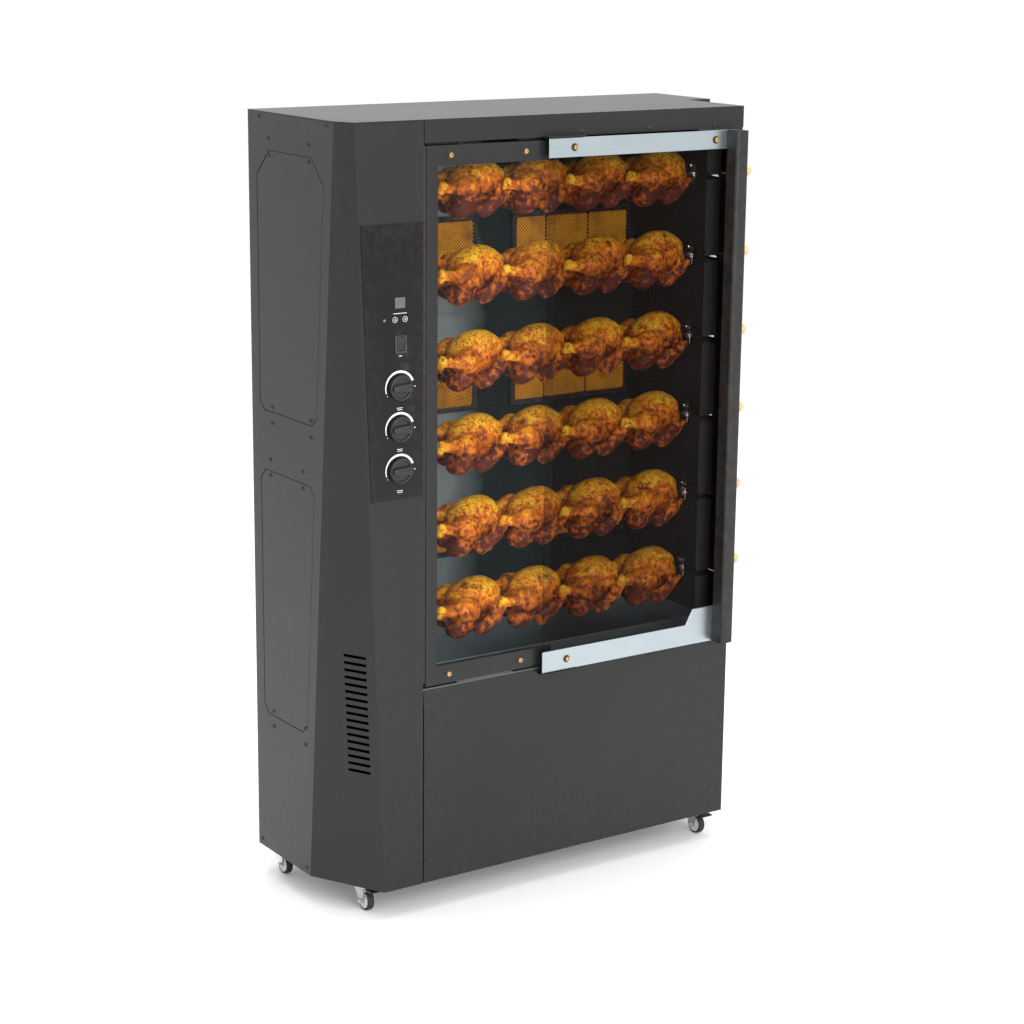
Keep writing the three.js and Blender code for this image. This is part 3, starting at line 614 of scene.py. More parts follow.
@dataclass(frozen=True)
class TintShadedSteel(Brushed):
    """Chamber steel: brushed, and painted dark towards the right end as painted shade of the tinted right
    pane in front of it.
    """

    # painted shade: the near-black colour that the chamber takes where it lies behind the tinted right pane
    baked: Colour = (0.010, 0.007, 0.006)
    edge: float = -0.10
    width: float = 0.10

    def wire(self, graph: Graph, shader: bpy.types.Node) -> None:
        """Adds the painted shade of the right end to the brushed metal."""
        super().wire(graph, shader)
        split = graph.add("ShaderNodeSeparateXYZ", {0: self.place(graph)})
        ragged = graph.spread(graph.noise(self.place(graph), 5.0), -0.03, 0.03, 0.3, 0.7)
        along = graph.maths("ADD", split.outputs["X"], ragged)
        # share runs from bare steel into the painted shade towards the right end
        share = graph.spread(along, 0.0, 0.94, self.edge, self.edge + self.width)
        unshaded = shader.inputs["Base Color"].links[0].from_socket
        self.tint(graph, shader, graph.blend(share, unshaded, self.baked))
        rough = shader.inputs["Roughness"].links[0].from_socket
        self.rough(graph, shader, graph.maths("ADD", rough, graph.maths("MULTIPLY", share, 0.22), clamp=True))
        graph.tree.links.new(graph.spread(share, self.metallic, 0.1), shader.inputs["Metallic"])


@dataclass(frozen=True)
class Cast(Finish):
    """Plated, cast or turned metal with a soft mottle."""

    mottle: float = 40.0
    depth: float = 0.05
    dull: float = 0.75
    metallic: float = 1.0

    def wire(self, graph: Graph, shader: bpy.types.Node) -> None:
        """Mottle drives colour, roughness and relief; rubbed edges are brighter."""
        cloud = graph.noise(self.place(graph), self.mottle, 4.0, 0.6)
        rubbed = graph.add("ShaderNodeGroup", node_tree=wear_group())
        rubbed.inputs["Amount"].default_value = 0.5
        dull = tuple(c * self.dull for c in self.colour)
        body = graph.blend(graph.spread(cloud, 0.0, 1.0, 0.35, 0.65), dull, self.colour)
        bright = tuple(min(1.0, c * 1.15) for c in self.colour)
        self.tint(graph, shader, graph.blend(rubbed.outputs["Rubbed"], body, bright))
        dullest, brightest = self.roughness + 0.08, max(0.03, self.roughness - 0.05)
        self.rough(graph, shader, graph.spread(cloud, dullest, brightest, 0.3, 0.7))
        self.relief(graph, shader, graph.noise(self.place(graph), self.mottle * 12, 2.0), self.depth)


@dataclass(frozen=True)
class Ceramic(Finish):
    """Fired burner ceramic: porous, with scorched patches and a faint painted glow that keeps it bright in
    the chamber's shade.
    """

    scorched: Colour = (0.3, 0.1, 0.02)
    painted_glow: float = 0.25

    def wire(self, graph: Graph, shader: bpy.types.Node) -> None:
        """Scorching drives colour, pores the relief; the colour also glows faintly as painted light."""
        scorch = graph.spread(graph.noise(self.place(graph), 22.0, 5.0, 0.65), 0.0, 0.8, 0.45, 0.75)
        mixed = graph.blend(scorch, self.colour, self.scorched)
        self.tint(graph, shader, mixed)
        self.relief(graph, shader, graph.noise(self.place(graph), 1500.0, 2.0), 0.1)
        self.rough(graph, shader, graph.spread(scorch, self.roughness, 0.98))
        # painted light: the ceramic emits its own colour to stay bright in the chamber's shade
        graph.tree.links.new(mixed, shader.inputs["Emission Color"])
        shader.inputs["Emission Strength"].default_value = self.painted_glow


@dataclass(frozen=True)
class Pane(Finish):
    """Tempered sheet glass with a body tint and faint haze."""

    cover: float = 0.15

    def wire(self, graph: Graph, shader: bpy.types.Node) -> None:
        """Haze drives the roughness; the tint is how much the pane covers."""
        haze = graph.noise(self.place(graph), 6.0, 4.0, 0.6)
        self.rough(graph, shader, graph.spread(haze, self.roughness, self.roughness + 0.05, 0.4, 0.7))
        shader.inputs["Alpha"].default_value = self.cover
        shader.inputs["Specular IOR Level"].default_value = 0.12
        shader.inputs["IOR"].default_value = 1.5


@dataclass(frozen=True)
class Wood(Finish):
    """Turned beech, its grain along the spit."""

    dark: Colour = (0.52, 0.36, 0.18)

    def wire(self, graph: Graph, shader: bpy.types.Node) -> None:
        """Long fibres and short dark flecks."""
        fibre = graph.noise(graph.stretched((60.0, 700.0, 700.0)), 1.0, 4.0)
        short = graph.noise(graph.stretched((250.0, 2200.0, 2200.0)), 1.0, 2.0)
        fleck = graph.spread(short, 0.0, 1.0, 0.6, 0.72)
        body = graph.blend(graph.spread(fibre, 0.0, 1.0, 0.3, 0.7), self.dark, self.colour)
        self.tint(graph, shader, graph.blend(graph.maths("MULTIPLY", fleck, 0.5), body, (0.3, 0.18, 0.08)))
        self.rough(graph, shader, graph.spread(fibre, 0.5, 0.38, 0.3, 0.7))
        self.relief(graph, shader, fibre, 0.05)
        shader.inputs["Coat Weight"].default_value = 0.25


@dataclass(frozen=True)
class RoastedSkin(Finish):
    """Glazed roasted skin: golden on the breast with some painted highlight, red-brown below deepening into
    painted shade, with painted shade in the creases and charred and spice flecks.
    """

    deep: Colour = (0.075, 0.007, 0.0003)
    pale: Colour = (0.93, 0.50, 0.02)
    char_and_crease_shade: Colour = (0.020, 0.004, 0.001)
    tone: ClassVar[str] = "roast"

    def wire(self, graph: Graph, shader: bpy.types.Node) -> None:
        """The mesh's own browning value, which also carries painted shade towards the underside, and three
        sizes of noise mix the colour.
        """
        place = self.place(graph)
        roast = graph.add("ShaderNodeAttribute", attribute_name=self.tone).outputs["Fac"]
        patch = graph.spread(graph.noise(place, 16.0, 2.0, 0.5), -0.14, 0.14, 0.35, 0.65)
        blotch = graph.spread(graph.noise(place, 75.0, 2.0, 0.5), -0.26, 0.26, 0.35, 0.65)
        amount = graph.maths("ADD", graph.maths("ADD", roast, patch), blotch, clamp=True)
        # the pale end stands partly for a painted highlight on top, the deep end partly for painted shade
        # below
        body = graph.blend(graph.spread(amount, 0.0, 1.0, 0.0, 0.5), self.pale, self.colour)
        body = graph.blend(graph.spread(amount, 0.0, 1.0, 0.5, 1.0), body, self.deep)
        spice = graph.spread(graph.noise(place, 170.0, 1.0, 0.5), 0.0, 0.75, 0.54, 0.66)
        body = graph.blend(spice, body, self.deep)
        # painted shade: concave creases, found from pointiness, darken towards the char colour
        fold = graph.spread(graph.add("ShaderNodeNewGeometry").outputs["Pointiness"], 1.0, 0.0, 0.40, 0.485)
        body = graph.blend(fold, body, self.char_and_crease_shade)
        burnt = graph.spread(graph.noise(place, 30.0, 4.0, 0.7), 0.0, 0.8, 0.60, 0.68)
        self.tint(graph, shader, graph.blend(burnt, body, self.char_and_crease_shade))
        self.rough(graph, shader, graph.spread(blotch, self.roughness, self.roughness + 0.16, -0.3, 0.3))
        self.relief(graph, shader, graph.noise(place, 130.0, 3.0, 0.55), 1.0, 0.7)
        shader.inputs["Specular IOR Level"].default_value = 0.16
        shader.inputs["Subsurface Weight"].default_value = 0.04
        shader.inputs["Subsurface Radius"].default_value = (0.004, 0.001, 0.0005)
        shader.inputs["Subsurface Scale"].default_value = 1.0
        shader.inputs["Coat Weight"].default_value = 0.05
        shader.inputs["Coat Roughness"].default_value = 0.3


@dataclass(frozen=True)
class Printed(Finish):
    """Screen-printed ink or a moulded lens: plain, with a slight mottle."""

    glow: float = 0.0

    def wire(self, graph: Graph, shader: bpy.types.Node) -> None:
        """Mottle drives colour and roughness."""
        mottle = graph.noise(self.place(graph), 300.0, 3.0)
        self.tint(graph, shader, graph.blend(mottle, tuple(c * 0.9 for c in self.colour), self.colour))
        self.rough(graph, shader, graph.spread(mottle, self.roughness, self.roughness + 0.1))
        if self.glow:
            shader.inputs["Emission Color"].default_value = (*self.colour, 1.0)
            shader.inputs["Emission Strength"].default_value = self.glow


CASING_PAINT = Sprayed("casing_powder_coat", "casing_paint", (0.0115, 0.0110, 0.0110), 0.36,
                       rubbed=(0.05, 0.05, 0.05), wear=0.3, film=0.03, shine=0.38)
HANDLE_PAINT = Sprayed("handle_powder_coat", "handle_paint", (0.0125, 0.0120, 0.0115), 0.42,
                       wear=0.3, film=0.05, shine=0.4)
CONTROL_GLOSS = Sprayed("control_panel_film", "control_black", (0.010, 0.008, 0.008), 0.20,
                        grain=1500.0, depth=0.01, wear=0.1, film=0.0, shine=0.22)
BLACK_PLASTIC = Sprayed("black_moulding", "black_plastic", (0.018, 0.018, 0.018), 0.36,
                        grain=1800.0, wear=0.2, film=0.05, shine=0.4)
DARK_STEEL = Sprayed("burner_and_motor_steel", "dark_steel", (0.045, 0.028, 0.022), 0.5,
                     metallic=0.5, grain=500.0, depth=0.08)
TYRE = Sprayed("tyre_rubber", "wheel_rubber", (0.014, 0.014, 0.014), 0.7,
               grain=1400.0, depth=0.08, wear=0.1, film=0.9)
STAINLESS = Brushed("brushed_stainless", "stainless", (0.49, 0.555, 0.59), 0.34, contrast=0.06)
CHAMBER_STEEL = TintShadedSteel("chamber_sheet", "chamber_steel", (0.42, 0.49, 0.50), 0.5, metallic=0.45,
                            across=(3.0, 160.0, 160.0), contrast=0.06, shine=0.1)
DRIVE_STEEL = Brushed("drive_steel", "dark_steel", (0.20, 0.19, 0.18), 0.4, across=(300.0, 300.0, 300.0))
CHROME = Cast("spit_chrome", "chrome", (0.82, 0.83, 0.85), 0.12, depth=0.01, dull=0.9)
ZINC = Cast("zinc_plate", "zinc", (0.70, 0.71, 0.73), 0.28)
BRASS = Cast("worn_brass", "brass", (0.72, 0.46, 0.18), 0.26)
HUB_NYLON = Printed("hub_nylon", "zinc", (0.66, 0.67, 0.66), 0.4)
LATTICE = Ceramic("burner_lattice", "burner_ceramic", (0.84, 0.42, 0.01), 0.85, painted_glow=0.20)
PLAQUE = Ceramic("burner_plaque", "burner_ceramic", (0.16, 0.012, 0.005), 0.9,
                 scorched=(0.07, 0.008, 0.004), painted_glow=0.12)
CLEAR_PANE = Pane("clear_pane", "clear_glass", (0.05, 0.07, 0.075), 0.03, cover=0.06)
TINTED_PANE = Pane("tinted_pane", "tinted_glass", (0.004, 0.002, 0.002), 0.03, cover=0.24)
BEECH = Wood("turned_beech", "turned_wood", (0.78, 0.60, 0.34), 0.42)
SKIN = RoastedSkin("roast_bird_skin", "roasted_skin", (0.66, 0.150, 0.001), 0.42)
INK = Printed("white_ink", "control_black", (0.85, 0.86, 0.88), 0.45)
DISPLAY = Printed("display_window", "control_black", (0.10, 0.11, 0.12), 0.15)
LAMP_LENS = Printed("lamp_lens", "control_black", (0.16, 0.16, 0.16), 0.25)


# ---------------------------------------------------------------------------------------------
# Geometry node trees for what repeats
# ---------------------------------------------------------------------------------------------
def field_tree(name: str, inputs: dict[str, str]) -> tuple[bpy.types.NodeTree, Graph, Any, Any]:
    """Starts a geometry tree with named inputs.

    Args:
        name: the tree's name.
        inputs: socket types by input name, after the geometry.

    Returns:
        The tree, its graph, its input node and its output node.
    """
    tree = bpy.data.node_groups.new(name, "GeometryNodeTree")
    for label, kind in {"Geometry": "NodeSocketGeometry", **inputs}.items():
        tree.interface.new_socket(label, in_out="INPUT", socket_type=kind)
    tree.interface.new_socket("Geometry", in_out="OUTPUT", socket_type="NodeSocketGeometry")
    graph = Graph(tree)
    return tree, graph, graph.add("NodeGroupInput"), graph.add("NodeGroupOutput")


def dress(tree: bpy.types.NodeTree, graph: Graph, made: bpy.types.NodeSocket, inside: Any,
          outside: Any) -> None:
    """Ends a tree: real geometry with the finish given to the tree."""
    real = graph.add("GeometryNodeRealizeInstances", {"Geometry": made})
    dressed = graph.add("GeometryNodeSetMaterial",
                        {"Geometry": real.outputs[0], "Material": inside.outputs["Finish"]})
    tree.links.new(dressed.outputs[0], outside.inputs["Geometry"])


def placed_copies_tree() -> bpy.types.NodeTree:
    """Sets a template on every point, turned to the point's own facing and along directions."""
    found = bpy.data.node_groups.get("placed_copies")
    if found:
        return found
    tree, graph, inside, outside = field_tree("placed_copies", {
        "Template": "NodeSocketObject", "Finish": "NodeSocketMaterial", "Scale": "NodeSocketFloat",
        "Spin": "NodeSocketFloat", "Seed": "NodeSocketInt",
    })
    template = graph.add("GeometryNodeObjectInfo", {"Object": inside.outputs["Template"]})
    facing = graph.add("GeometryNodeInputNamedAttribute", {"Name": "facing"}, data_type="FLOAT_VECTOR")
    along = graph.add("GeometryNodeInputNamedAttribute", {"Name": "along"}, data_type="FLOAT_VECTOR")
    align = "FunctionNodeAlignRotationToVector"
    upright = graph.add(align, {"Vector": facing.outputs["Attribute"]}, axis="Z")
    square = graph.add(align, {"Rotation": upright.outputs[0], "Vector": along.outputs["Attribute"]},
                       axis="X", pivot_axis="Z")
    back = graph.add("ShaderNodeMath", {0: inside.outputs["Spin"], 1: -1.0}, operation="MULTIPLY")
    spin = graph.add("FunctionNodeRandomValue", data_type="FLOAT")
    for socket, source in (("Min", back.outputs[0]), ("Max", inside.outputs["Spin"])):
        tree.links.new(source, next(s for s in spin.inputs if s.name == socket and s.type == "VALUE"))
    tree.links.new(inside.outputs["Seed"], spin.inputs["Seed"])
    turned = graph.add("FunctionNodeAxisAngleToRotation", {"Axis": (0.0, 0.0, 1.0)})
    tree.links.new(next(s for s in spin.outputs if s.type == "VALUE"), turned.inputs["Angle"])
    final = graph.add("FunctionNodeRotateRotation",
                      {"Rotation": square.outputs[0], "Rotate By": turned.outputs[0]}, rotation_space="LOCAL")
    copies = graph.add("GeometryNodeInstanceOnPoints", {
        "Points": inside.outputs["Geometry"], "Instance": template.outputs["Geometry"],
        "Rotation": final.outputs[0], "Scale": inside.outputs["Scale"],
    })
    dress(tree, graph, copies.outputs[0], inside, outside)
    return tree


def strand_tree() -> bpy.types.NodeTree:
    """Gives every loose edge a rectangular section."""
    found = bpy.data.node_groups.get("strands")
    if found:
        return found
    tree, graph, inside, outside = field_tree("strands", {
        "Width": "NodeSocketFloat", "Depth": "NodeSocketFloat", "Finish": "NodeSocketMaterial",
    })
    path = graph.add("GeometryNodeMeshToCurve", {"Mesh": inside.outputs["Geometry"]})
    level = graph.add("GeometryNodeSetCurveNormal", {"Curve": path.outputs[0]}, mode="Z_UP")
    section = graph.add("GeometryNodeCurvePrimitiveQuadrilateral",
                        {"Width": inside.outputs["Depth"], "Height": inside.outputs["Width"]})
    bars = graph.add("GeometryNodeCurveToMesh", {
        "Curve": level.outputs[0], "Profile Curve": section.outputs[0], "Fill Caps": True,
    })
    dress(tree, graph, bars.outputs[0], inside, outside)
    return tree


def run_tree(name: str, mesh: bpy.types.Mesh, tree: bpy.types.NodeTree,
             values: dict[str, Any]) -> bpy.types.Object:
    """Runs a geometry tree on a mesh and keeps the plain result.

    Args:
        name: name of the piece.
        mesh: points or edges for the tree.
        tree: the tree.
        values: its inputs by name.

    Returns:
        The piece, a plain mesh at the origin.
    """
    source = new_object(f"{name}_points", mesh)
    modifier = source.modifiers.new("layout", "NODES")
    modifier.node_group = tree
    for item in tree.interface.items_tree:
        if item.in_out == "INPUT" and item.name in values:
            modifier[item.identifier] = values[item.name]
    return baked(source, name)


@dataclass(frozen=True)
class Spot:
    """Where one repeated piece goes: its place, the way it faces and its own X direction."""

    at: Vector
    facing: Point
    along: Point = (1.0, 0.0, 0.0)


def scatter(name: str, template: Solid, spots: Sequence[Spot], finish: Finish, body: str = ROOT,
            spin: float = 0.0, seed: int = 1) -> bpy.types.Object:
    """Sets copies of a template at every spot and fits them as one piece.

    Args:
        name: name of the piece.
        template: one copy, drawn about its own origin and facing +Z.
        spots: where the copies go.
        finish: their finish.
        body: the CAD body that carries them.
        spin: each copy turns about its facing by up to this angle in radians.
        seed: seed of that turn.

    Returns:
        The piece.
    """
    shape = template.mesh(f"{name}_template")
    smooth(shape)
    model = new_object(f"{name}_template", shape)
    points = bpy.data.meshes.new(f"{name}_points")
    points.from_pydata([spot.at * MM for spot in spots], [], [])
    for label in ("facing", "along"):
        layer = points.attributes.new(label, "FLOAT_VECTOR", "POINT")
        layer.data.foreach_set("vector", [c for spot in spots for c in getattr(spot, label)])
    piece = run_tree(name, points, placed_copies_tree(), {
        "Template": model, "Finish": finish.material(), "Scale": 1.0, "Spin": spin, "Seed": seed,
    })
    bpy.data.objects.remove(model)
    return fit(piece, body, finish)


# ---------------------------------------------------------------------------------------------
# Studio
# ---------------------------------------------------------------------------------------------
@dataclass
class Studio:
    """Camera, floor and soft light."""

    lens: float = 84.36
    eye: Point = (-3201.2, -4678.4, 2274.1)
    heading: float = -0.596
    pitch: float = -0.242
    roll: float = 0.0105
    floor_radius: float = 150000.0
    sky: float = 1.06

    def camera(self) -> None:
        """Sets up the camera."""
        data = bpy.data.cameras.new("camera")
        data.lens, data.sensor_width = self.lens, 36.0
        data.clip_start, data.clip_end = 0.05, 1000.0
        made = bpy.data.objects.new("camera", data)
        bpy.context.scene.collection.objects.link(made)
        aim = Matrix.Rotation(self.heading, 4, "Z") @ Matrix.Rotation(math.pi / 2 + self.pitch, 4, "X")
        place = Matrix.Translation(Vector(self.eye) * MM)
        made.matrix_world = place @ aim @ Matrix.Rotation(self.roll, 4, "Z")
        bpy.context.scene.camera = made

    def floor(self) -> None:
        """Lays a pale floor."""
        disc = Solid().turned([(-1.0, 0.0), (-1.0, self.floor_radius), (0.0, self.floor_radius), (0.0, 0.0)],
                              (0.0, 0.0, -0.5), Axis.Z, 96)
        floor = new_object("studio_floor", disc.mesh("studio_floor"))
        material = bpy.data.materials.new("studio_floor")
        material.use_nodes = True
        shader = material.node_tree.nodes["Principled BSDF"]
        shader.inputs["Base Color"].default_value = (0.89, 0.89, 0.89, 1.0)
        shader.inputs["Roughness"].default_value = 0.9
        shader.inputs["Emission Color"].default_value = (1.0, 1.0, 1.0, 1.0)
        shader.inputs["Emission Strength"].default_value = 0.08
        floor.data.materials.append(material)

    def lamp(self, name: str, at: Point, target: Point, size: float, power: float) -> None:
        """Adds one square soft box.

        Args:
            name: its name.
            at: its centre, in metres.
            target: the point it faces, in metres.
            size: its side, in metres.
            power: its power in watts.
        """
        data = bpy.data.lights.new(name, "AREA")
        data.shape, data.size, data.energy = "SQUARE", size, power
        made = bpy.data.objects.new(name, data)
        bpy.context.scene.collection.objects.link(made)
        made.location = at
        made.rotation_mode = "QUATERNION"
        made.rotation_quaternion = (Vector(target) - Vector(at)).to_track_quat("-Z", "Y")

    def light(self) -> None:
        """Pale surroundings, a soft box overhead and one in front."""
        world = bpy.data.worlds.new("studio")
        world.use_nodes = True
        world.node_tree.nodes["Background"].inputs["Color"].default_value = (1.0, 1.0, 1.0, 1.0)
        world.node_tree.nodes["Background"].inputs["Strength"].default_value = self.sky
        bpy.context.scene.world = world
        bpy.context.scene.view_settings.view_transform = "Standard"
        self.lamp("overhead", (0.3, 0.6, 5.0), (0.0, 0.0, 0.9), 4.0, 130.0)
        self.lamp("front", (-0.8, -5.5, 3.2), (0.0, 0.0, 1.1), 3.5, 200.0)

    def build(self) -> None:
        """Builds the studio."""
        self.camera()
        self.floor()
        self.light()


# ---------------------------------------------------------------------------------------------
# Casing
# ---------------------------------------------------------------------------------------------
@dataclass(frozen=True)
class Datum:
    """Drawing origin of the casing: x from the left side, y from the front sheet, z from the floor."""

    origin: Vector

    @classmethod
    def of_casing(cls) -> "Datum":
        """Reads the origin off the column shell."""
        low = Extent.of("column_shell").low
        return cls(Vector((low.x, low.y, 0.0)))

    def at(self, x: float, y: float, z: float) -> Vector:
        """A point of the casing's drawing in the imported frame."""
        return self.origin + Vector((x, y, z))


DATUM = Datum.of_casing()
FRONT, LEFTWARD, RIGHTWARD, REAR = (0, -1, 0), (-1, 0, 0), (1, 0, 0), (0, 1, 0)


def button_screw(radius: float = 5.5, height: float = 2.8) -> Solid:
    """Round-headed socket screw, standing on its own origin."""
    profile = [(-1.0, 0.0), (-1.0, radius), (0.25 * height, radius), (0.75 * height, 0.76 * radius),
               (height, 0.45 * radius), (height, 0.36 * radius)]
    socket = [(0.35 * height, 0.3 * radius), (0.35 * height, 0.0)]
    profile += socket
    return Solid().turned(profile, (0, 0, 0), Axis.Z, 16)


@dataclass
class Casing:
    """Outer sheets with their screws."""

    sheets: tuple[str, ...] = (
        "base_tray", "roof_cap", "column_shell", "upper_access_panel", "lower_access_panel",
        "lower_front_panel", "right_side_panel", "back_panel",
    )
    front_screws: tuple[Flat, ...] = (
        (218, 470), (218, 298), (218, 124), (290, 82), (552, 82), (808, 82), (1065, 82),
        (630, 522), (855, 522), (1082, 470), (1082, 298), (1082, 124),
    )
    fascia_screws: tuple[float, ...] = (625, 818, 1010)
    fascia_z: float = 1808
    back_pitch: float = 210
    back_inset: float = 16
    access_screw_gap: float = 16

    def side_spots(self) -> list[Spot]:
        """Screws round the two access panels and at the corners of the left side."""
        spots = []
        for name in ("upper_access_panel", "lower_access_panel"):
            low, high = Extent.of(name).low, Extent.of(name).high
            for share in (0.24, 0.80):
                y = low.y + (high.y - low.y) * share
                for z in (low.z + 6, high.z - 6):
                    inward = 1 if z < (low.z + high.z) / 2 else -1
                    inside = z + self.access_screw_gap * inward
                    outside = z - self.access_screw_gap * 1.4 * inward
                    spots += [Spot(Vector((DATUM.origin.x + 0.2, y, inside)), LEFTWARD, (0, 1, 0)),
                              Spot(Vector((DATUM.origin.x, y, outside)), LEFTWARD, (0, 1, 0))]
        corners = ((385, 1838), (80, 1838), (420, 86), (200, 86))
        return spots + [Spot(DATUM.at(0, y, z), LEFTWARD, (0, 1, 0)) for y, z in corners]

    def back_spots(self) -> list[Spot]:
        """Screws round the edge of the back panel."""
        low, high = Extent.of("back_panel").low, Extent.of("back_panel").high
        rows = int((high.z - low.z) // self.back_pitch)
        columns = int((high.x - low.x) // self.back_pitch)
        inset, inner = self.back_inset, 2 * self.back_inset
        zs = [low.z + inset + (high.z - low.z - inner) * i / rows for i in range(rows + 1)]
        xs = [low.x + inset + (high.x - low.x - inner) * i / columns for i in range(columns + 1)]
        edge = [(x, z) for z in zs for x in (xs[0], xs[-1])]
        edge += [(x, z) for x in xs[1:-1] for z in (zs[0], zs[-1])]
        return [Spot(Vector((x, high.y, z)), REAR) for x, z in edge]

    def right_spots(self) -> list[Spot]:
        """Screws down the right side, in front of and behind the step."""
        high = Extent.of("right_side_panel").high
        front = [Spot(DATUM.at(1098, y, z), RIGHTWARD, (0, 1, 0)) for y in (14, 204) for z in (96, 480)]
        rear = [Spot(Vector((high.x, high.y - y, z)), RIGHTWARD, (0, 1, 0))
                for y in (16, 200) for z in (96, 520, 950, 1390, 1820)]
        return front + rear

    def build(self) -> None:
        """Fits the sheets and the screws."""
        for sheet in self.sheets:
            ease_node(sheet, ROOT, CASING_PAINT, 0.7)
        front = [Spot(DATUM.at(x, 0, z), FRONT) for x, z in self.front_screws]
        front += [Spot(DATUM.at(x, 0, self.fascia_z), FRONT) for x in self.fascia_screws]
        for name, spots in (("front_screws", front), ("side_screws", self.side_spots()),
                            ("back_screws", self.back_spots()), ("right_screws", self.right_spots())):
            scatter(name, button_screw(), spots, BLACK_PLASTIC, spin=math.pi, seed=len(spots))


# ---------------------------------------------------------------------------------------------
# Chamber and burners
# ---------------------------------------------------------------------------------------------
@dataclass
class Chamber:
    """Steel walls of the cooking space, its door tracks and the drip tray."""

    seam_z: tuple[float, ...] = (640, 985, 1345, 1708)
    seam_height: float = 9.0
    rows: int = 6
    lip_height: float = 13.0
    lip_parting: float = 0.3
    side_lip: tuple[Flat, Flat] = ((1110.6, 5.4), (1113.0, 103.0))
    front_lip: tuple[Flat, Flat] = ((1066.0, 3.7), (1113.0, 5.2))
    seal_strip: tuple[Point, Point] = ((200.6, 4.0, 560), (208.3, 27.0, 1785))

    def build(self) -> None:
        """Fits the walls, presses the seams of the back wall and adds the rubber lips."""
        for node in ("chamber_left_wall", "chamber_right_wall", "chamber_liner", "lower_door_track"):
            ease_node(node, ROOT, CHAMBER_STEEL, 0.5)
        ease_node("drip_tray", ROOT, STAINLESS, 0.5)
        liner = Extent.of("chamber_liner")
        seams = Solid()
        face = liner.high.y - 2.0
        for z in self.seam_z:
            half = self.seam_height / 2
            outline = [(face + 0.2, z - half), (face - 2.5, z - half * 0.4), (face - 2.5, z + half * 0.4),
                       (face + 0.2, z + half)]
            seams.prism(outline, (liner.low.x + 2, 0, 0), Axis.X, liner.size.x - 4)
        fit_solid("liner_seams", seams, ROOT, CHAMBER_STEEL)
        self.seals()

    def seals(self) -> None:
        """Fits the rubber lips of the spit slots and the strip between the column and the left door."""
        near, far = self.seal_strip
        strip = Solid().box(DATUM.at(*near), DATUM.at(*far), 0.6)
        fit_solid("column_seal", strip, ROOT, TYRE)
        lips = Solid()
        for row in range(1, self.rows + 1):
            z = Extent.of(f"spit_drive_{row}").middle.z
            for side in (-1, 1):
                low, high = sorted((z + side * self.lip_parting, z + side * self.lip_height))
                for near, far in (self.side_lip, self.front_lip):
                    lips.box(DATUM.at(*near, low), DATUM.at(*far, high))
        fit_solid("slot_lips", lips, ROOT, TYRE)


@dataclass
class Burners:
    """Ceramic infrared burners: enamelled housings, three plaques in each head and their lattice."""

    names: tuple[str, ...] = ("top", "middle", "bottom")
    top_z: float = 1525
    pitch: float = 362
    heads: tuple[float, ...] = (219, 678)
    frame: float = 12
    width: float = 359
    height: float = 116
    tile_y: float = 361
    shares: tuple[float, ...] = (0.265, 0.375, 0.36)
    joint: float = 3.0
    cell: float = 9.6
    strand: float = 2.5
    strand_depth: float = 1.4
    rear_y: float = 374
    wall_x: float = 205

    def plaques(self, z: float) -> list[tuple[float, float, float, float]]:
        """Rectangles (x0, x1, z0, z1) of the plaques of one row, in the casing's drawing."""
        out = []
        half = self.height / 2 - self.frame - 0.5
        for head in self.heads:
            x = head + self.frame + 0.5
            span = self.width - 2 * self.frame - 1.0 - self.joint * (len(self.shares) - 1)
            for share in self.shares:
                out.append((x, x + span * share, z - half, z + half))
                x += span * share + self.joint
        return out

    def strands(self, x0: float, x1: float, z0: float, z1: float) -> list[tuple[Flat, Flat]]:
        """Diagonal strands clipped to one plaque."""
        width, height = x1 - x0, z1 - z0
        out = []
        count = int((width + height) / self.cell)
        for i in range(1, count + 1):
            c = i * (width + height) / (count + 1)
            rising = ((max(0.0, c - height), min(height, c)), (min(width, c), max(0.0, c - width)))
            out.append(tuple((x0 + u, z0 + v) for u, v in rising))
            out.append(tuple((x1 - u, z0 + v) for u, v in rising))
        return out

    def build(self) -> None:
        """Fits each row's housing, plaques and lattice."""
        for row, name in enumerate(self.names):
            node = f"burner_row_{name}"
            z = self.top_z - row * self.pitch
            housing = eased_copy(node, 1.2)
            for finish in (DARK_STEEL, BRASS):
                housing.data.materials.append(finish.material())
            behind = DATUM.at(0, self.rear_y, 0).y * MM
            wall = DATUM.at(self.wall_x, 0, 0).x * MM
            for face in housing.data.polygons:
                face.material_index = int(face.center.y > behind or face.center.x < wall)
            fit(housing, ROOT, DARK_STEEL, [node])
            plaques = Solid()
            points: list[Point] = []
            for x0, x1, z0, z1 in self.plaques(z):
                plaques.box(DATUM.at(x0, self.tile_y - 0.9, z0), DATUM.at(x1, self.tile_y + 0.3, z1), 0.4)
                for start, end in self.strands(x0 + 1, x1 - 1, z0 + 1, z1 - 1):
                    depth = self.tile_y - 0.7 - self.strand_depth / 2
                    points += [tuple(DATUM.at(u, depth, v) * MM) for u, v in (start, end)]
            fit_solid(f"burner_plaques_{name}", plaques, ROOT, PLAQUE)
            mesh = bpy.data.meshes.new(f"burner_lattice_{name}")
            mesh.from_pydata(points, [(i, i + 1) for i in range(0, len(points), 2)], [])
            lattice = run_tree(f"burner_lattice_{name}", mesh, strand_tree(), {
                "Width": self.strand * MM, "Depth": self.strand_depth * MM, "Finish": LATTICE.material(),
            })
            fit(lattice, ROOT, LATTICE)
        ease_node("gas_manifold", ROOT, BRASS, 0.8)


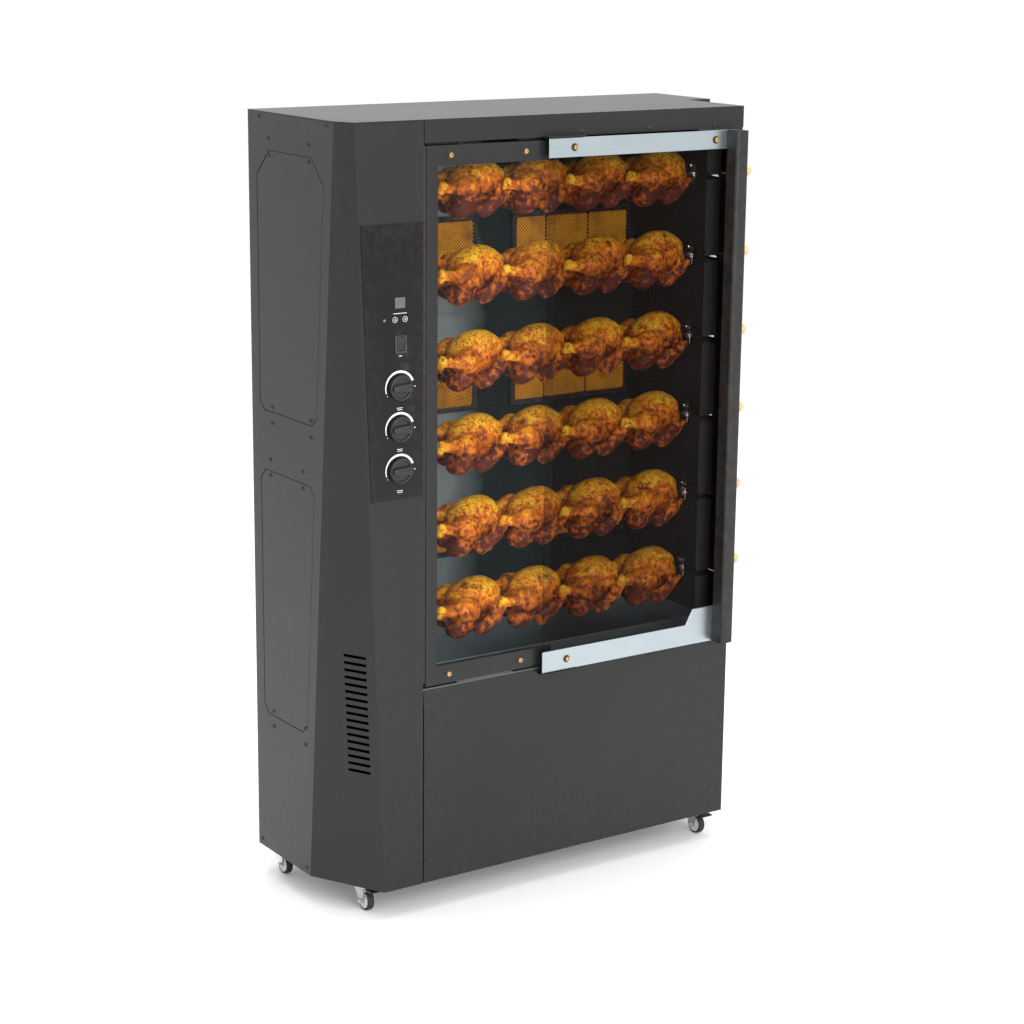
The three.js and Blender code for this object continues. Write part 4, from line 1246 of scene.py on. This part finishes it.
# ---------------------------------------------------------------------------------------------
# Spits and their drive
# ---------------------------------------------------------------------------------------------
@dataclass
class SpitDrive:
    """Gear motor, sprockets and the roller chain that turns all six spits together."""

    rows: int = 6
    teeth: int = 16
    pitch_radius: float = 33.6
    root_radius: float = 30.0
    tooth_height: float = 6.0

    def axis(self, row: int) -> Vector:
        """Centre of one sprocket's box."""
        return Extent.of(f"spit_drive_{row}").middle

    def tooth(self) -> Solid:
        """One sprocket tooth, pointing along +X from the root circle."""
        outline = [(-1.0, -3.2), (1.2, -2.6), (self.tooth_height - 1.4, -1.2), (self.tooth_height - 0.6, 0.0),
                   (self.tooth_height - 1.4, 1.2), (1.2, 2.6), (-1.0, 3.2)]
        return Solid().prism(outline, (0, 0, -1.7), Axis.Z, 3.4, 0.3)

    def link(self, gap: float) -> Solid:
        """One chain link along X: two waisted plates, gap apart on each side, and its rollers."""
        pitch = self.pitch()
        outline = arc(4.6, 90, 270, 5, (-pitch / 2, 0)) + arc(4.6, -90, 90, 5, (pitch / 2, 0))
        plates = Solid()
        for z in (gap - 0.5, -gap - 0.5):
            plates.prism(outline, (0, 0, z), Axis.Z, 1.0)
        if gap < 2.2:
            for x in (-pitch / 2, pitch / 2):
                plates.turned([(-gap, 0), (-gap, 3.4), (gap, 3.4), (gap, 0)], (x, 0, 0), Axis.Z, 10)
        return plates

    def pitch(self) -> float:
        """Chain pitch that fits the tooth count."""
        return 2 * self.pitch_radius * math.sin(math.pi / self.teeth)

    def chain_spots(self) -> list[Spot]:
        """Link centres round the two end sprockets and down both runs."""
        top, foot = self.axis(1), self.axis(self.rows)
        x = Extent.of("drive_chain").middle.x
        run = top.z - foot.z
        count = round(run / self.pitch())
        radius = self.pitch_radius * math.cos(math.pi / self.teeth)
        spots = []
        for side in (1, -1):
            for i in range(count):
                z = foot.z + run * (i + 0.5) / count
                spots.append(Spot(Vector((x, top.y + side * self.pitch_radius, z)), (1, 0, 0), (0, 0, 1)))
        for centre, start in ((top, 0.0), (foot, math.pi)):
            for i in range(self.teeth // 2):
                a = start + math.pi * (i + 0.5) / (self.teeth // 2)
                at = Vector((x, centre.y + radius * math.cos(a), centre.z + radius * math.sin(a)))
                spots.append(Spot(at, (1, 0, 0), (0, -math.sin(a), math.cos(a))))
        return spots

    def build(self) -> None:
        """Fits the motor, the sprockets and the chain."""
        ease_node("gear_motor", ROOT, DARK_STEEL, 1.5)
        spots = self.chain_spots()
        outer = scatter("chain_outer_links", self.link(2.6), spots[0::2], DRIVE_STEEL)
        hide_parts("drive_chain")
        scatter("chain_inner_links", self.link(1.5), spots[1::2], DRIVE_STEEL)
        for row in range(1, self.rows + 1):
            node = f"spit_drive_{row}"
            ease_node(node, f"spit_{row}", DRIVE_STEEL, 0.5)
            centre = self.axis(row)
            x = Extent.of("drive_chain").middle.x
            angles = [2 * math.pi * (i + 0.5) / self.teeth for i in range(self.teeth)]
            teeth = []
            for a in angles:
                ray = (0, math.cos(a), math.sin(a))
                y, z = centre.y + self.root_radius * ray[1], centre.z + self.root_radius * ray[2]
                teeth.append(Spot(Vector((x, y, z)), (1, 0, 0), ray))
            scatter(f"sprocket_teeth_{row}", self.tooth(), teeth, DRIVE_STEEL, f"spit_{row}")


@dataclass
class Spits:
    """Square chromed rods with bird forks, wing screws and turned grips."""

    rows: int = 6
    half: float = 5.0
    journal_x: float = 1046
    collar_x: float = 1116
    grip_radius: float = 14.0
    fork_x: tuple[float, float] = (265, 1038)
    tine_spread: float = 28.0
    tine_length: float = 52.0

    def fork(self, rod: Solid, x: float, y: float, z: float, side: int) -> None:
        """Adds one bird fork with its hub, four splayed tines and the shank of its wing screw.

        Args:
            rod: the solid that it joins.
            x: its place along the spit.
            y: the spit's axis.
            z: the spit's axis.
            side: 1 if the tines point right, -1 if left.
        """
        rod.turned([(-6, 0), (-6, 10.5), (-4.5, 12), (4.5, 12), (6, 10.5), (6, 0)], (x, y, z), Axis.X, 24)
        for dy, dz in ((-1, 0.35), (1, -0.35), (-0.35, -1), (0.35, 1)):
            root = Vector((x, y + dy * 10, z + dz * 10))
            knee = Vector((x + side * 5, y + dy * self.tine_spread * 0.8, z + dz * self.tine_spread * 0.8))
            tip = knee + Vector((side * self.tine_length * 0.42, dy * 2, dz * 2))
            rod.rod(root, knee, 2.6, 2.3, 10).rod(knee, tip, 2.4, 0.8, 10)
        rod.rod((x, y, z + 10), (x, y, z + 20), 3.2, sides=12)

    def build(self) -> None:
        """Fits the rods and the grips."""
        for row in range(1, self.rows + 1):
            node = f"spit_{row}"
            box = Extent.of(node)
            _, y, z = Extent.of(f"spit_drive_{row}").middle
            start, ball = box.low.x, box.high.x - self.grip_radius
            journal = DATUM.at(self.journal_x, 0, 0).x
            collar = DATUM.at(self.collar_x, 0, 0).x
            low, high = (start, y - self.half, z - self.half), (journal, y + self.half, z + self.half)
            rod = Solid().box(low, high, 0.7)
            flange = [(0, 0), (0, 8.4), (0.6, 9), (4.4, 9), (5, 8.4), (6, 4.6), (6, 0)]
            rod.turned(flange, (collar - 1, y, z), Axis.X)
            rod.rod((collar + 3, y, z), (ball - 6, y, z), 4.6)
            for x, side in zip(self.fork_x, (1, -1)):
                self.fork(rod, DATUM.at(x, 0, 0).x, y, z, side)
            fit_solid(f"spit_rod_{row}", rod, node, CHROME, [node])
            wings = Solid().rod((journal - 1, y, z), (collar, y, z), 6.0)
            for x in self.fork_x:
                at = DATUM.at(x, 0, 0).x
                wings.rod((at, y, z + 12), (at, y, z + 17), 4.0, sides=16)
                for rise in (14.0, 27.0):
                    wings.turned([(-1.6, 0), (-1.6, 6.6), (-0.8, 7.4), (0.8, 7.4), (1.6, 6.6), (1.6, 0)],
                                 (at, y, z + rise), Axis.Y, 24)
            fit_solid(f"spit_wings_{row}", wings, node, DARK_STEEL)
            ferrule = self.grip_radius * 0.5
            profile = [(-self.grip_radius * 0.93, 0), (-self.grip_radius * 0.93, ferrule * 0.74)]
            profile += arc(self.grip_radius, 156, 12, 12) + [(self.grip_radius, 0)]
            fit_solid(f"spit_grip_{row}", Solid().turned(profile, (ball, y, z), Axis.X, 40), node, BEECH)


# ---------------------------------------------------------------------------------------------
# Birds
# ---------------------------------------------------------------------------------------------
@dataclass(frozen=True)
class Limb:
    """A tapered, rounded stretch of the bird between two points."""

    start: Point
    end: Point
    girth: float
    tip: float


@dataclass(frozen=True)
class Mass:
    """A stretched ball of the bird, tilted about Y in degrees."""

    centre: Point
    radii: Point
    tilt: float = 0.0


@dataclass
class Birds:
    """Six spits of four roasted chickens, breast up, legs to the left."""

    rows: int = 6
    per_row: int = 4
    first_x: float = 392
    pitch: float = 174
    voxel: float = 2.2
    faces: int = 12000
    masses: tuple[Mass, ...] = (
        Mass((16, 0, 16), (72, 50, 50), -5), Mass((42, 0, 0), (46, 50, 46)),
        Mass((-14, 0, -16), (66, 44, 34)), Mass((-76, 2, -16), (20, 15, 13), 20),
        Mass((-34, -47, 0), (37, 27, 33), 10), Mass((-20, 46, 12), (36, 27, 32)),
        Mass((-48, -38, -38), (36, 30, 27), -20), Mass((-30, 36, -34), (34, 28, 26), -20),
        Mass((14, -61, -38), (34, 11, 18), -34), Mass((36, -61, -24), (30, 10, 16), -34),
        Mass((58, -59, -10), (16, 6, 8), -30), Mass((36, -60, -6), (7, 5, 14), 20),
        Mass((-4, -54, -42), (16, 16, 14)), Mass((26, 58, -26), (44, 10, 16), -30),
        Mass((60, 55, -6), (14, 5, 7), -30),
    )
    limbs: tuple[Limb, ...] = (
        Limb((-40, -50, 2), (-74, -52, 5), 30, 14), Limb((-74, -52, 5), (-104, -54, 8), 14, 10),
        Limb((-108, -56, 14), (-111, -52, 1), 11, 10), Limb((-26, 46, 14), (-62, 40, 22), 24, 11),
        Limb((-62, 40, 22), (-82, 38, 26), 11, 9), Limb((-84, 40, 31), (-86, 36, 21), 10, 9),
    )

    def ball(self, centre: Vector, radii: Vector, tilt: float = 0.0) -> bmesh.types.BMesh:
        """One stretched ball, tilted about Y by an angle in degrees."""
        part = bmesh.new()
        bmesh.ops.create_icosphere(part, subdivisions=3, radius=1.0)
        turn = Matrix.Rotation(math.radians(tilt), 4, "Y")
        part.transform(Matrix.Translation(centre) @ turn @ Matrix.Diagonal((*radii, 1.0)))
        return part

    def blank(self) -> bpy.types.Mesh:
        """Overlapping masses of one bird, in millimetres about the spit's axis."""
        solid = Solid()
        for mass in self.masses:
            solid.take(self.ball(Vector(mass.centre), Vector(mass.radii), mass.tilt))
        for limb in self.limbs:
            start, end = Vector(limb.start), Vector(limb.end)
            steps = max(2, int((end - start).length / 6))
            for i in range(steps + 1):
                share = i / steps
                girth = limb.girth + (limb.tip - limb.girth) * share
                solid.take(self.ball(start.lerp(end, share), Vector((girth,) * 3)))
        return solid.mesh("bird_blank")

    def bird(self) -> bpy.types.Mesh:
        """One finished bird: masses fused, softened, wrinkled and thinned."""
        source = new_object("bird_source", self.blank())
        fuse = source.modifiers.new("fuse", "REMESH")
        fuse.mode, fuse.voxel_size = "VOXEL", self.voxel * MM
        soften = source.modifiers.new("soften", "SMOOTH")
        soften.factor, soften.iterations = 0.5, 3
        fused = baked(source, "bird_fused")
        for vertex in fused.data.vertices:
            vertex.co += vertex.normal * self.wrinkle(vertex.co / MM) * MM
        thin = fused.modifiers.new("thin", "DECIMATE")
        thin.ratio = min(1.0, self.faces / (2 * len(fused.data.polygons)))
        thinned = baked(fused, "bird")
        mesh = thinned.data
        bpy.data.objects.remove(thinned)
        return mesh

    def wrinkle(self, place: Vector) -> float:
        """How far the skin stands proud at a point, in millimetres."""
        fold = noise.fractal(place * 0.035, 1.0, 2.0, 4)
        crease = abs(noise.noise(place * 0.06 + Vector((7.0, 3.0, 1.0))))
        return 1.6 * fold - 0.6 * max(0.0, 0.12 - crease) / 0.12

    def roast(self, place: Vector) -> float:
        """How brown the skin is at a point, with painted shade mixed in: gold on the breast, pale at the leg
        ends, and darker towards the bottom and at the sides, partly browning and partly painted shade of the
        underside.
        """
        # painted shade: the value rises towards the bottom, where the underside falls in shadow
        shade = 0.60 - 0.0082 * place.z
        if place.x < -74:
            shade -= 0.012 * (-74 - place.x)
        if abs(place.y) > 40:
            shade += 0.10
        return min(1.0, max(0.0, shade))

    def build(self) -> None:
        """Sets four birds on each spit, each turned a little."""
        bird = self.bird()
        for row in range(1, self.rows + 1):
            _, y, z = Extent.of(f"spit_drive_{row}").middle
            solid = bmesh.new()
            shades: list[float] = []
            for i in range(self.per_row):
                x = DATUM.at(self.first_x + i * self.pitch, 0, 0).x
                lean = math.radians(3.0 * noise.noise(Vector((row * 3.7, i * 5.1, 0.5))))
                copy = bird.copy()
                shades += [self.roast(v.co / MM) for v in copy.vertices]
                copy.transform(Matrix.Translation(Vector((x, y, z)) * MM) @ Matrix.Rotation(lean, 4, "X"))
                solid.from_mesh(copy)
                bpy.data.meshes.remove(copy)
            mesh = bpy.data.meshes.new(f"chickens_{row}")
            solid.to_mesh(mesh)
            solid.free()
            mesh.shade_smooth()
            mesh.attributes.new(SKIN.tone, "FLOAT", "POINT").data.foreach_set("value", shades)
            fit(new_object(f"chickens_{row}", mesh), f"spit_{row}", SKIN, [f"chicken_row_{row}"])


# ---------------------------------------------------------------------------------------------
# Doors
# ---------------------------------------------------------------------------------------------
@dataclass
class Doors:
    """Two sliding doors: the left one painted and clear, the right one stainless and tinted."""

    left_bolts: tuple[Flat, ...] = ((270, 1770), (470, 1770), (270, 575), (470, 575))
    right_bolts: tuple[Flat, ...] = ((592, 1775), (1000, 1775), (592, 563), (1040, 580))
    washer: float = 9.0

    def bolt(self) -> Solid:
        """Brass socket cap standing on its own origin."""
        return Solid().turned([(-1, 0), (-1, 5.6), (5.0, 5.6), (5.8, 4.8), (5.8, 3.1), (2.4, 2.9), (2.4, 0)],
                              (0, 0, 0), Axis.Z, 24)

    def ring(self) -> Solid:
        """Dark washer under a bolt."""
        return Solid().turned([(-0.5, 4.0), (-0.5, self.washer), (0.9, self.washer), (1.4, self.washer - 0.5),
                               (1.4, 4.0)], (0, 0, 0), Axis.Z, 28)

    def bolts(self, name: str, at: Sequence[Flat], face: float, body: str) -> None:
        """Fits bolts and washers on one door.

        Args:
            name: start of the pieces' names.
            at: places (x, z) in the casing's drawing.
            face: the y of the sheet that they stand on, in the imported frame.
            body: the door's body.
        """
        spots = [Spot(Vector((DATUM.at(x, 0, 0).x, face, z)), FRONT) for x, z in at]
        raised = [Spot(spot.at + Vector((0, -1.2, 0)), FRONT) for spot in spots]
        scatter(f"{name}_washers", self.ring(), spots, BLACK_PLASTIC, body)
        scatter(f"{name}_bolts", self.bolt(), raised, BRASS, body, math.pi, 5)

    def build(self) -> None:
        """Fits both doors."""
        ease_node("left_door_frame", "left_door", CASING_PAINT, 0.8)
        ease_node("left_door_glass", "left_door", CLEAR_PANE, 0.8)
        ease_node("right_door_top_rail", "right_door", STAINLESS, 0.9)
        ease_node("right_door_bottom_rail", "right_door", STAINLESS, 0.9)
        ease_node("right_door_glass", "right_door", TINTED_PANE, 0.8)
        ease_node("right_door_handle", "right_door", HANDLE_PAINT, 1.0, 40.0)
        self.bolts("left_door", self.left_bolts, Extent.of("left_door_frame").low.y, "left_door")
        self.bolts("right_door", self.right_bolts, Extent.of("right_door_top_rail").low.y, "right_door")


# ---------------------------------------------------------------------------------------------
# Controls
# ---------------------------------------------------------------------------------------------
@dataclass
class Controls:
    """Control panel, its knobs, rocker, keys, display window, status lamp and printed marks."""

    knobs: tuple[str, ...] = ("top", "middle", "bottom")
    dial: float = 28.5
    arc_radius: float = 36.3
    arc_width: float = 5.0
    ink: float = 0.25
    key_ring: Flat = (5.4, 6.3)
    display: tuple[float, float, float, float] = (138, 1453, 26, 24)
    lamp: tuple[float, float, float] = (98, 1416, 3.2)

    @property
    def face(self) -> float:
        """The y of the panel's face."""
        return Extent.of("control_panel").low.y

    def knob(self, name: str) -> None:
        """Fits one gas knob: dished dial with a raised grip bar that points right."""
        node = f"gas_knob_{name}"
        box = Extent.of(node)
        x, z = box.middle.x, box.middle.z
        base, r = box.high.y, self.dial
        dial = Solid().turned(
            [(0, 0), (0, r), (6.2, r), (8.0, r - 0.9), (9.0, r - 2.6), (8.4, r - 4.4), (5.4, r - 5.6),
             (5.0, 0)], (0, 0, 0), Axis.Y, 72)
        dial.turn(math.pi, Axis.X, (0, 0, 0))
        half, rise = 9.5, box.size.y - 2.0
        grip = arc(r - 5.4, 166, 194, 6) + [(-8.0, -half * 0.8), (r - 12.0, -half)] + arc(r - 1.2, -21, 21, 7)
        dial.prism(grip + [(r - 12.0, half), (-8.0, half * 0.8)], (0, -rise, 0), Axis.Y, rise - 4.5, 2.2)
        pointer = [(-16.0, -0.8), (r - 3.0, -1.1), (r - 3.0, 1.1), (-16.0, 0.8)]
        dial.prism(pointer, (0, -rise - 0.7, 0), Axis.Y, 1.2, 0.3)
        dial.bm.transform(Matrix.Translation((x, base, z)))
        fit_solid(f"{node}_dial", dial, node, BLACK_PLASTIC, [node])

    def polar(self, radius: float, angle: float) -> Flat:
        """A point at a radius and an angle in degrees."""
        return arc(radius, angle, angle, 1)[0]

    def marks(self) -> Solid:
        """Printed heat arcs, off dots and plain bars under each control."""
        ink = Solid()
        lift = self.face - self.ink
        depth = self.ink - 0.02
        for name in self.knobs:
            box = Extent.of(f"gas_knob_{name}")
            x, z = box.middle.x, box.middle.z
            steps = 40
            for i in range(steps):
                start, end = (198 - 176 * (i + k) / steps for k in (0, 1.001))
                swell = [self.arc_width * (0.35 + 0.65 * min(1.0, 2 * k / steps)) / 2 for k in (i, i + 1)]
                walk = ((start, -swell[0]), (start, swell[0]), (end, swell[1]), (end, -swell[1]))
                corners = [self.polar(self.arc_radius + out, a) for a, out in walk]
                ink.prism(corners, (x, lift, z), Axis.Y, depth)
            dot = self.arc_radius + 3.0
            ink.prism(arc(1.5, 0, 330, 11, (dot, 0)), (x, lift, z), Axis.Y, depth)
            ink.prism(arc(1.0, 0, 330, 11, self.polar(self.arc_radius, 208)), (x, lift, z), Axis.Y, depth)
            for row, width in enumerate((15, 13)):
                foot = z - 46.4 - 4 * row
                ink.box((x - width / 2, lift, foot), (x + width / 2, lift + depth, foot + 1.2))
        up, down = Extent.of("up_key").middle, Extent.of("down_key").middle
        inner, outer = self.key_ring
        for key in (up, down):
            for a in range(0, 360, 15):
                walk = ((inner, a), (outer, a), (outer, a + 15.2), (inner, a + 15.2))
                corners = [self.polar(radius, angle) for radius, angle in walk]
                ink.prism(corners, (key.x, lift, key.z), Axis.Y, depth)
        middle = (up.x + down.x) / 2
        ink.box((middle - 17, lift, up.z + 13), (middle + 17, lift + depth, up.z + 14.2))
        rocker = Extent.of("power_rocker").middle
        ink.box((rocker.x - 4, lift, rocker.z - 27.5), (rocker.x + 4, lift + depth, rocker.z - 26))
        return ink

    def rocker(self) -> None:
        """Fits the rocker and the bezel round it."""
        box = Extent.of("power_rocker")
        fit(eased_copy("power_rocker", 0.9, 20.0, 3), "power_rocker", BLACK_PLASTIC, ["power_rocker"])
        x, z, width, height = box.middle.x, box.middle.z, box.size.x + 10, box.size.z + 10
        outer, inner = rounded(width, height, 3.0), rounded(box.size.x + 1.2, box.size.z + 1.2, 0.8)
        bezel = Solid()
        count = len(outer)
        for i in range(count):
            j = (i + 1) % count
            bezel.prism([outer[i], outer[j], inner[j], inner[i]], (x, self.face - 2.2, z), Axis.Y, 2.0)
        bmesh.ops.remove_doubles(bezel.bm, verts=bezel.bm.verts[:], dist=0.01)
        walls = [f for f in bezel.bm.faces if len({v for v in f.verts}) == 4 and self.shared(f)]
        bmesh.ops.delete(bezel.bm, geom=walls, context="FACES")
        bmesh.ops.recalc_face_normals(bezel.bm, faces=bezel.bm.faces[:])
        fit_solid("rocker_bezel", bezel, ROOT, BLACK_PLASTIC)

    def shared(self, face: bmesh.types.BMFace) -> bool:
        """True for a wall between two neighbouring segments of the bezel."""
        return all(len(edge.link_faces) > 2 for edge in face.edges)

    def build(self) -> None:
        """Fits everything on the panel."""
        ease_node("control_panel", ROOT, CONTROL_GLOSS, 0.3)
        for name in self.knobs:
            self.knob(name)
        self.rocker()
        for key, direction in (("up", 1), ("down", -1)):
            node = f"{key}_key"
            box = Extent.of(node)
            radius, base = box.size.x / 2, box.high.y
            rise = box.size.y
            profile = [(0, 0), (0, radius), (rise - 0.6, radius), (rise - 0.1, radius - 0.6), (rise - 0.3, 0)]
            cap = Solid().turned(profile, (0, 0, 0), Axis.Y, 32)
            cap.turn(math.pi, Axis.X, (0, 0, 0))
            cap.bm.transform(Matrix.Translation((box.middle.x, base, box.middle.z)))
            fit_solid(f"{node}_cap", cap, node, BLACK_PLASTIC, [node])
            arrow = Solid().prism([(-2.4, -1.2 * direction), (2.4, -1.2 * direction), (0, 2.0 * direction)],
                                  (box.middle.x, box.low.y - 0.1, box.middle.z), Axis.Y, 0.3)
            fit_solid(f"{node}_arrow", arrow, node, INK)
        fit_solid("panel_marks", self.marks(), ROOT, INK)
        x, z, width, height = self.display
        place = (DATUM.at(x, 0, 0).x, self.face - 0.8, z)
        window = Solid().prism(rounded(width, height, 1.5), place, Axis.Y, 0.9, 0.3)
        fit_solid("display_window", window, ROOT, DISPLAY)
        x, z, radius = self.lamp
        lens = Solid().turned([(-0.3, 0), (-0.3, radius), (0.3, radius), (1.1, radius * 0.6), (1.3, 0)],
                              (0, 0, 0), Axis.Y, 24).turn(math.pi, Axis.X, (0, 0, 0))
        lens.bm.transform(Matrix.Translation((DATUM.at(x, 0, 0).x, self.face, z)))
        fit_solid("status_lamp", lens, ROOT, LAMP_LENS)


# ---------------------------------------------------------------------------------------------
# Casters
# ---------------------------------------------------------------------------------------------
@dataclass
class Casters:
    """Four swivel casters, the front two with brake pedals."""

    places: tuple[str, ...] = ("front_left", "front_right", "rear_left", "rear_right")
    braked: tuple[str, ...] = ("front_left", "front_right")
    tyre_depth: float = 5.5

    def wheel(self, place: str) -> None:
        """Fits one wheel: rubber tyre and nylon hub with a raised bead."""
        node = f"caster_{place}_wheel"
        box = Extent.of(node)
        centre, radius, half = box.middle, box.size.z / 2, box.size.x / 2
        inner = radius - self.tyre_depth
        tyre = [(-half + 1.0, inner)]
        tyre += arc(3.4, 180, 90, 6, (-half + 3.6, radius - 3.4))
        tyre += [(-along, r) for along, r in reversed(tyre)]
        fit_solid(f"{node}_tyre", Solid().turned(tyre, centre, Axis.X, 64), node, TYRE, [node])
        bead = inner - 0.2
        half -= 0.4
        side = [(-half + 2.0, 3.4), (-half, 4.0), (-half, 8.0), (-half + 2.4, 9.0), (-half + 2.4, bead - 4.0),
                (-half, bead - 3.0), (-half, bead)]
        hub = side + [(-along, r) for along, r in reversed(side)]
        fit_solid(f"{node}_hub", Solid().turned(hub, centre, Axis.X, 64), node, HUB_NYLON)

    def fork(self, place: str) -> None:
        """Fits one fork, its swivel race and the axle nuts."""
        node = f"caster_{place}_fork"
        body = f"caster_{place}_swivel"
        wheel, box = Extent.of(f"caster_{place}_wheel"), Extent.of(node)
        ease_node(node, body, ZINC, 0.7)
        top = Vector((box.middle.x, wheel.middle.y + 20, box.high.z))
        cup = [(-7.2, 0), (-7.2, 17), (-6.4, 19.6), (-4.6, 20.6), (-2.6, 20.6), (-1.4, 19)]
        cup += [(-0.2, 17), (-0.2, 0)]
        race = Solid().turned(cup, top, Axis.Z, 48)
        for side in (1, -1):
            nut_x = wheel.middle.x + side * (box.size.x / 2 - 1.6)
            race.turned([(-1.8, 0), (-1.8, 5.4), (-1.2, 5.9), (1.2, 5.9), (1.6, 5.2), (1.6, 0)],
                        (nut_x, wheel.middle.y, wheel.middle.z), Axis.X, 6)
        fit_solid(f"{node}_race", race, body, ZINC)

    def build(self) -> None:
        """Fits the casters."""
        for place in self.places:
            self.wheel(place)
            self.fork(place)
        for place in self.braked:
            node = f"caster_{place}_brake"
            fit(eased_copy(node, 1.6, 20.0, 3), node, BLACK_PLASTIC, [node])


def main() -> None:
    """Builds the studio and every sub-assembly in order."""
    logging.basicConfig(level=logging.INFO, format="%(name)s: %(message)s")
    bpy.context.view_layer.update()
    Studio().build()
    assemblies = (
        Casing(), Chamber(), Burners(), SpitDrive(), Spits(), Birds(), Doors(), Controls(), Casters(),
    )
    for assembly in assemblies:
        log.info("building %s", type(assembly).__name__)
        assembly.build()


if __name__ == "__main__":
    main()
